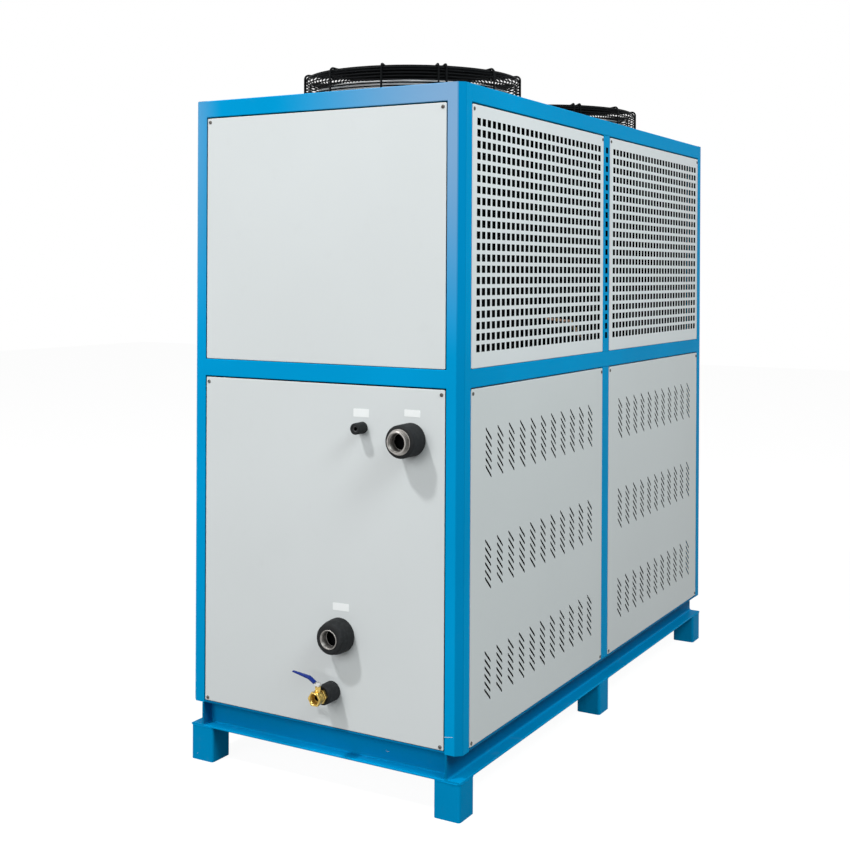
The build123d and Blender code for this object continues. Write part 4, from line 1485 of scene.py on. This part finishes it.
    def build_lever(self) -> None:
        """The lever: a bent strip with a dipped grip, under a small steel nut."""
        shape = Shape()
        base = np.array((self.drain[0], self.face - 60.0, self.drain[1] + 28.0))
        line = round_corners(((-8.0, 6.0), (-25.0, 16.5), (-73.0, 24.0)), (0, 12.0, 0), 8, closed=False)
        run = unit(np.gradient(line, axis=0))
        rise = np.stack((run[:, 1], -run[:, 0]), -1)
        round_parts = ((np.cos(turns(20)), 0.6), (np.sin(turns(20)), 0.8))
        wide, deep = (np.sign(part) * np.abs(part) ** power for part, power in round_parts)
        half = np.interp(line[:, 0], (-73, -71, -66, -30, -8), (3.6, 5.6, 6.8, 6.4, 6.0))
        thick = np.interp(line[:, 0], (-73, -71, -66, -24, -8), (1.8, 2.7, 3.2, 3.5, 3.6))
        points = np.stack((
            line[:, :1] + rise[:, :1] * thick[:, None] * deep,
            half[:, None] * wide,
            line[:, 1:] + rise[:, 1:] * thick[:, None] * deep,
        ), -1)
        shape.surface(points + base, wrap_columns=True, caps=True)
        strip = ((7.0, 1.0), (7.0, 3.2), (-2.5, 3.2), (-11.0, 9.2), (-12.0, 7.4), (-3.2, 1.0))
        strip, half_strip = round_corners(strip, 0.5, 2), (0, 5.0, 0)
        shape.prism(strip, base - half_strip, base + half_strip, (1, 0, 0), UP, slot=1)
        nut = round_corners(polygon(6, 6.5), 0.8, 3)
        shape.prism(nut, base + (0, 0, 3.3), base + (0, 0, 8.6), slot=1)
        shape.piece("valve_lever", [VINYL, CHROME], ["drain_lever"], "drain_handle")

    def build_labels(self) -> None:
        """Bare labels over the ports, a little askew."""
        shape = Shape()
        wall = Side.FRONT.value
        across = np.array(wall.across)
        for x0, x1, z0, z1, turn, slot in (
            (99.9, 144.0, 915.1, 934.6, 0.5, 0), (242.1, 285.0, 923.7, 940.1, -0.6, 0),
            (43.2, 89.9, 444.0, 461.9, 1.2, 0), (21.7, 59.7, 280.3, 298.4, -1.0, 1),
        ):
            half_x, half_z = (x1 - x0) / 2, (z1 - z0) / 2
            outline = round_corners(rectangle(-half_x, half_x, -half_z, half_z), 1.5, 3)
            tilt = math.radians(turn)
            along = across * math.cos(tilt) + UP * math.sin(tilt)
            rise = UP * math.cos(tilt) - across * math.sin(tilt)
            ends = [wall.place((x0 + x1) / 2, (z0 + z1) / 2, out) for out in (-0.1, 0.25)]
            shape.prism(outline, *ends, along, rise, slot=slot)
        shape.piece("bare_labels", [STICKER, CLEAR])


# Studio


@dataclass(frozen=True)
class Viewpoint:
    """The photograph's camera: place in millimetres, angles in degrees, focal length in pixels."""

    place: Point = (1784.7, -3426.8, 1261.3)
    yaw: float = 29.88
    pitch: float = -0.14
    roll: float = 0.29
    focal: float = 1285.8
    centre: Pair = (425.0, 275.7)
    width: float = 850.0

    def build(self) -> None:
        """Adds the camera and makes it the scene's."""
        yaw, pitch, roll = (math.radians(v) for v in (self.yaw, self.pitch, self.roll))
        ahead = Vector((-math.sin(yaw) * math.cos(pitch), math.cos(yaw) * math.cos(pitch), math.sin(pitch)))
        right = Vector((math.cos(yaw), math.sin(yaw), 0.0))
        rise = right.cross(ahead)
        turned = right * math.cos(roll) + rise * math.sin(roll)
        raised = rise * math.cos(roll) - right * math.sin(roll)
        data = bpy.data.cameras.new("Camera")
        data.sensor_width = 36.0
        data.lens = self.focal / self.width * 36.0
        data.shift_x = (self.width / 2 - self.centre[0]) / self.width
        data.shift_y = (self.centre[1] - self.width / 2) / self.width
        data.clip_end = 50.0
        camera = linked("Camera", data)
        axes = Matrix((turned, raised, -ahead)).transposed().to_4x4()
        camera.matrix_world = Matrix.Translation(Vector(self.place) * MM) @ axes
        bpy.context.scene.camera = camera


@dataclass
class Studio:
    """A pale floor, a white surround and soft lamps."""

    floor_reach: float = 14.0
    floor_colour: float = 0.14
    floor_lift: float = 0.93
    sky: float = 0.30

    def bright_rays(self, graph: Graph) -> Value:
        """One for rays that see the surround: from the camera, off gloss or through glass."""
        path = graph.node("ShaderNodeLightPath")
        kinds = ("Is Camera Ray", "Is Glossy Ray", "Is Transmission Ray")
        seen = [Value(graph, path.outputs[kind]) for kind in kinds]
        return (seen[0] + seen[1] + seen[2]).between(0.0, 0.5)

    def build_floor(self) -> None:
        """A wide floor that keeps the object's shadow and looks white round it."""
        graph = Graph(bpy.data.materials.new("studio_floor"))
        white = self.bright_rays(graph)
        graph.set(Base_Color=(*(self.floor_colour,) * 3, 1.0), Roughness=0.9, Emission_Color=(1, 1, 1, 1))
        graph.set(Specular_IOR_Level=0.0, Emission_Strength=white * self.floor_lift)
        mesh = bpy.data.meshes.new("studio_floor")
        corners = np.insert(rectangle(-1, 1, -1, 1) * self.floor_reach, 2, 0.0, axis=1)
        mesh.from_pydata(corners.tolist(), [], [(0, 1, 2, 3)])
        mesh.materials.append(graph.owner)
        linked("studio_floor", mesh)

    def build_world(self) -> None:
        """A soft grey sky for light, seen as white."""
        graph = Graph(bpy.data.worlds.new("studio_world"), "ShaderNodeBackground", "ShaderNodeOutputWorld")
        bpy.context.scene.world = graph.owner
        level = self.bright_rays(graph) * (1.0 - self.sky) + self.sky
        graph.set(Color=(1.0, 1.0, 1.0, 1.0), Strength=level)

    def lamp(
        self, name: str, place: Point, aim: Point, size: float, power: float, tint: Colour = (1.0, 1.0, 1.0)
    ) -> None:
        """Adds a square softbox.

        Args:
            name: Its name.
            place: Where it stands, in metres.
            aim: What it points at.
            size: Its width.
            power: Its power in watts.
            tint: Its colour.
        """
        data = bpy.data.lights.new(name, "AREA")
        data.shape = "SQUARE"
        data.size = size
        data.energy = power
        data.color = tint
        item = linked(name, data)
        item.location = place
        item.rotation_euler = (Vector(aim) - Vector(place)).to_track_quat("-Z", "Y").to_euler()

    def build(self) -> None:
        """Floor, surround and lamps."""
        self.build_floor()
        self.build_world()
        self.lamp("key", (-2.05, -4.6, 7.0), (0.0, -0.8, 0.9), 0.5, 285.0)
        self.lamp("front", (-1.0, -6.0, 2.4), (0.0, -0.8, 1.0), 3.0, 124.0)
        self.lamp("side", (3.8, -1.6, 4.4), (0.3, -0.2, 1.3), 2.2, 196.0, (0.94, 1.0, 1.0))
        bpy.context.scene.view_settings.view_transform = "Standard"


def main() -> None:
    """Builds every sub-assembly in order."""
    logging.basicConfig(level=logging.INFO, format="%(message)s")
    Viewpoint().build()
    Studio().build()
    base = Base()
    base.build_feet()
    base.build_members()
    base.build_marks()
    housing = HousingFrame()
    housing.build_posts()
    housing.build_mid_posts()
    housing.build_rails()
    panels = Panels()
    panels.build_ends()
    panels.build_grilles()
    panels.build_slotted()
    panels.build_shade_partition()
    panels.build_screws()
    top = Top()
    top.build_collars()
    top.build_guards()
    top.build_motors()
    top.build_rotors()
    top.dress_sheets()
    coils = Coils()
    coils.build()
    coils.build_tubes()
    pipes = PipeEnds()
    pipes.build_sleeves()
    pipes.build_sockets()
    pipes.build_overflow()
    pipes.build_valve()
    pipes.build_lever()
    pipes.build_labels()


if __name__ == "__main__":
    main()
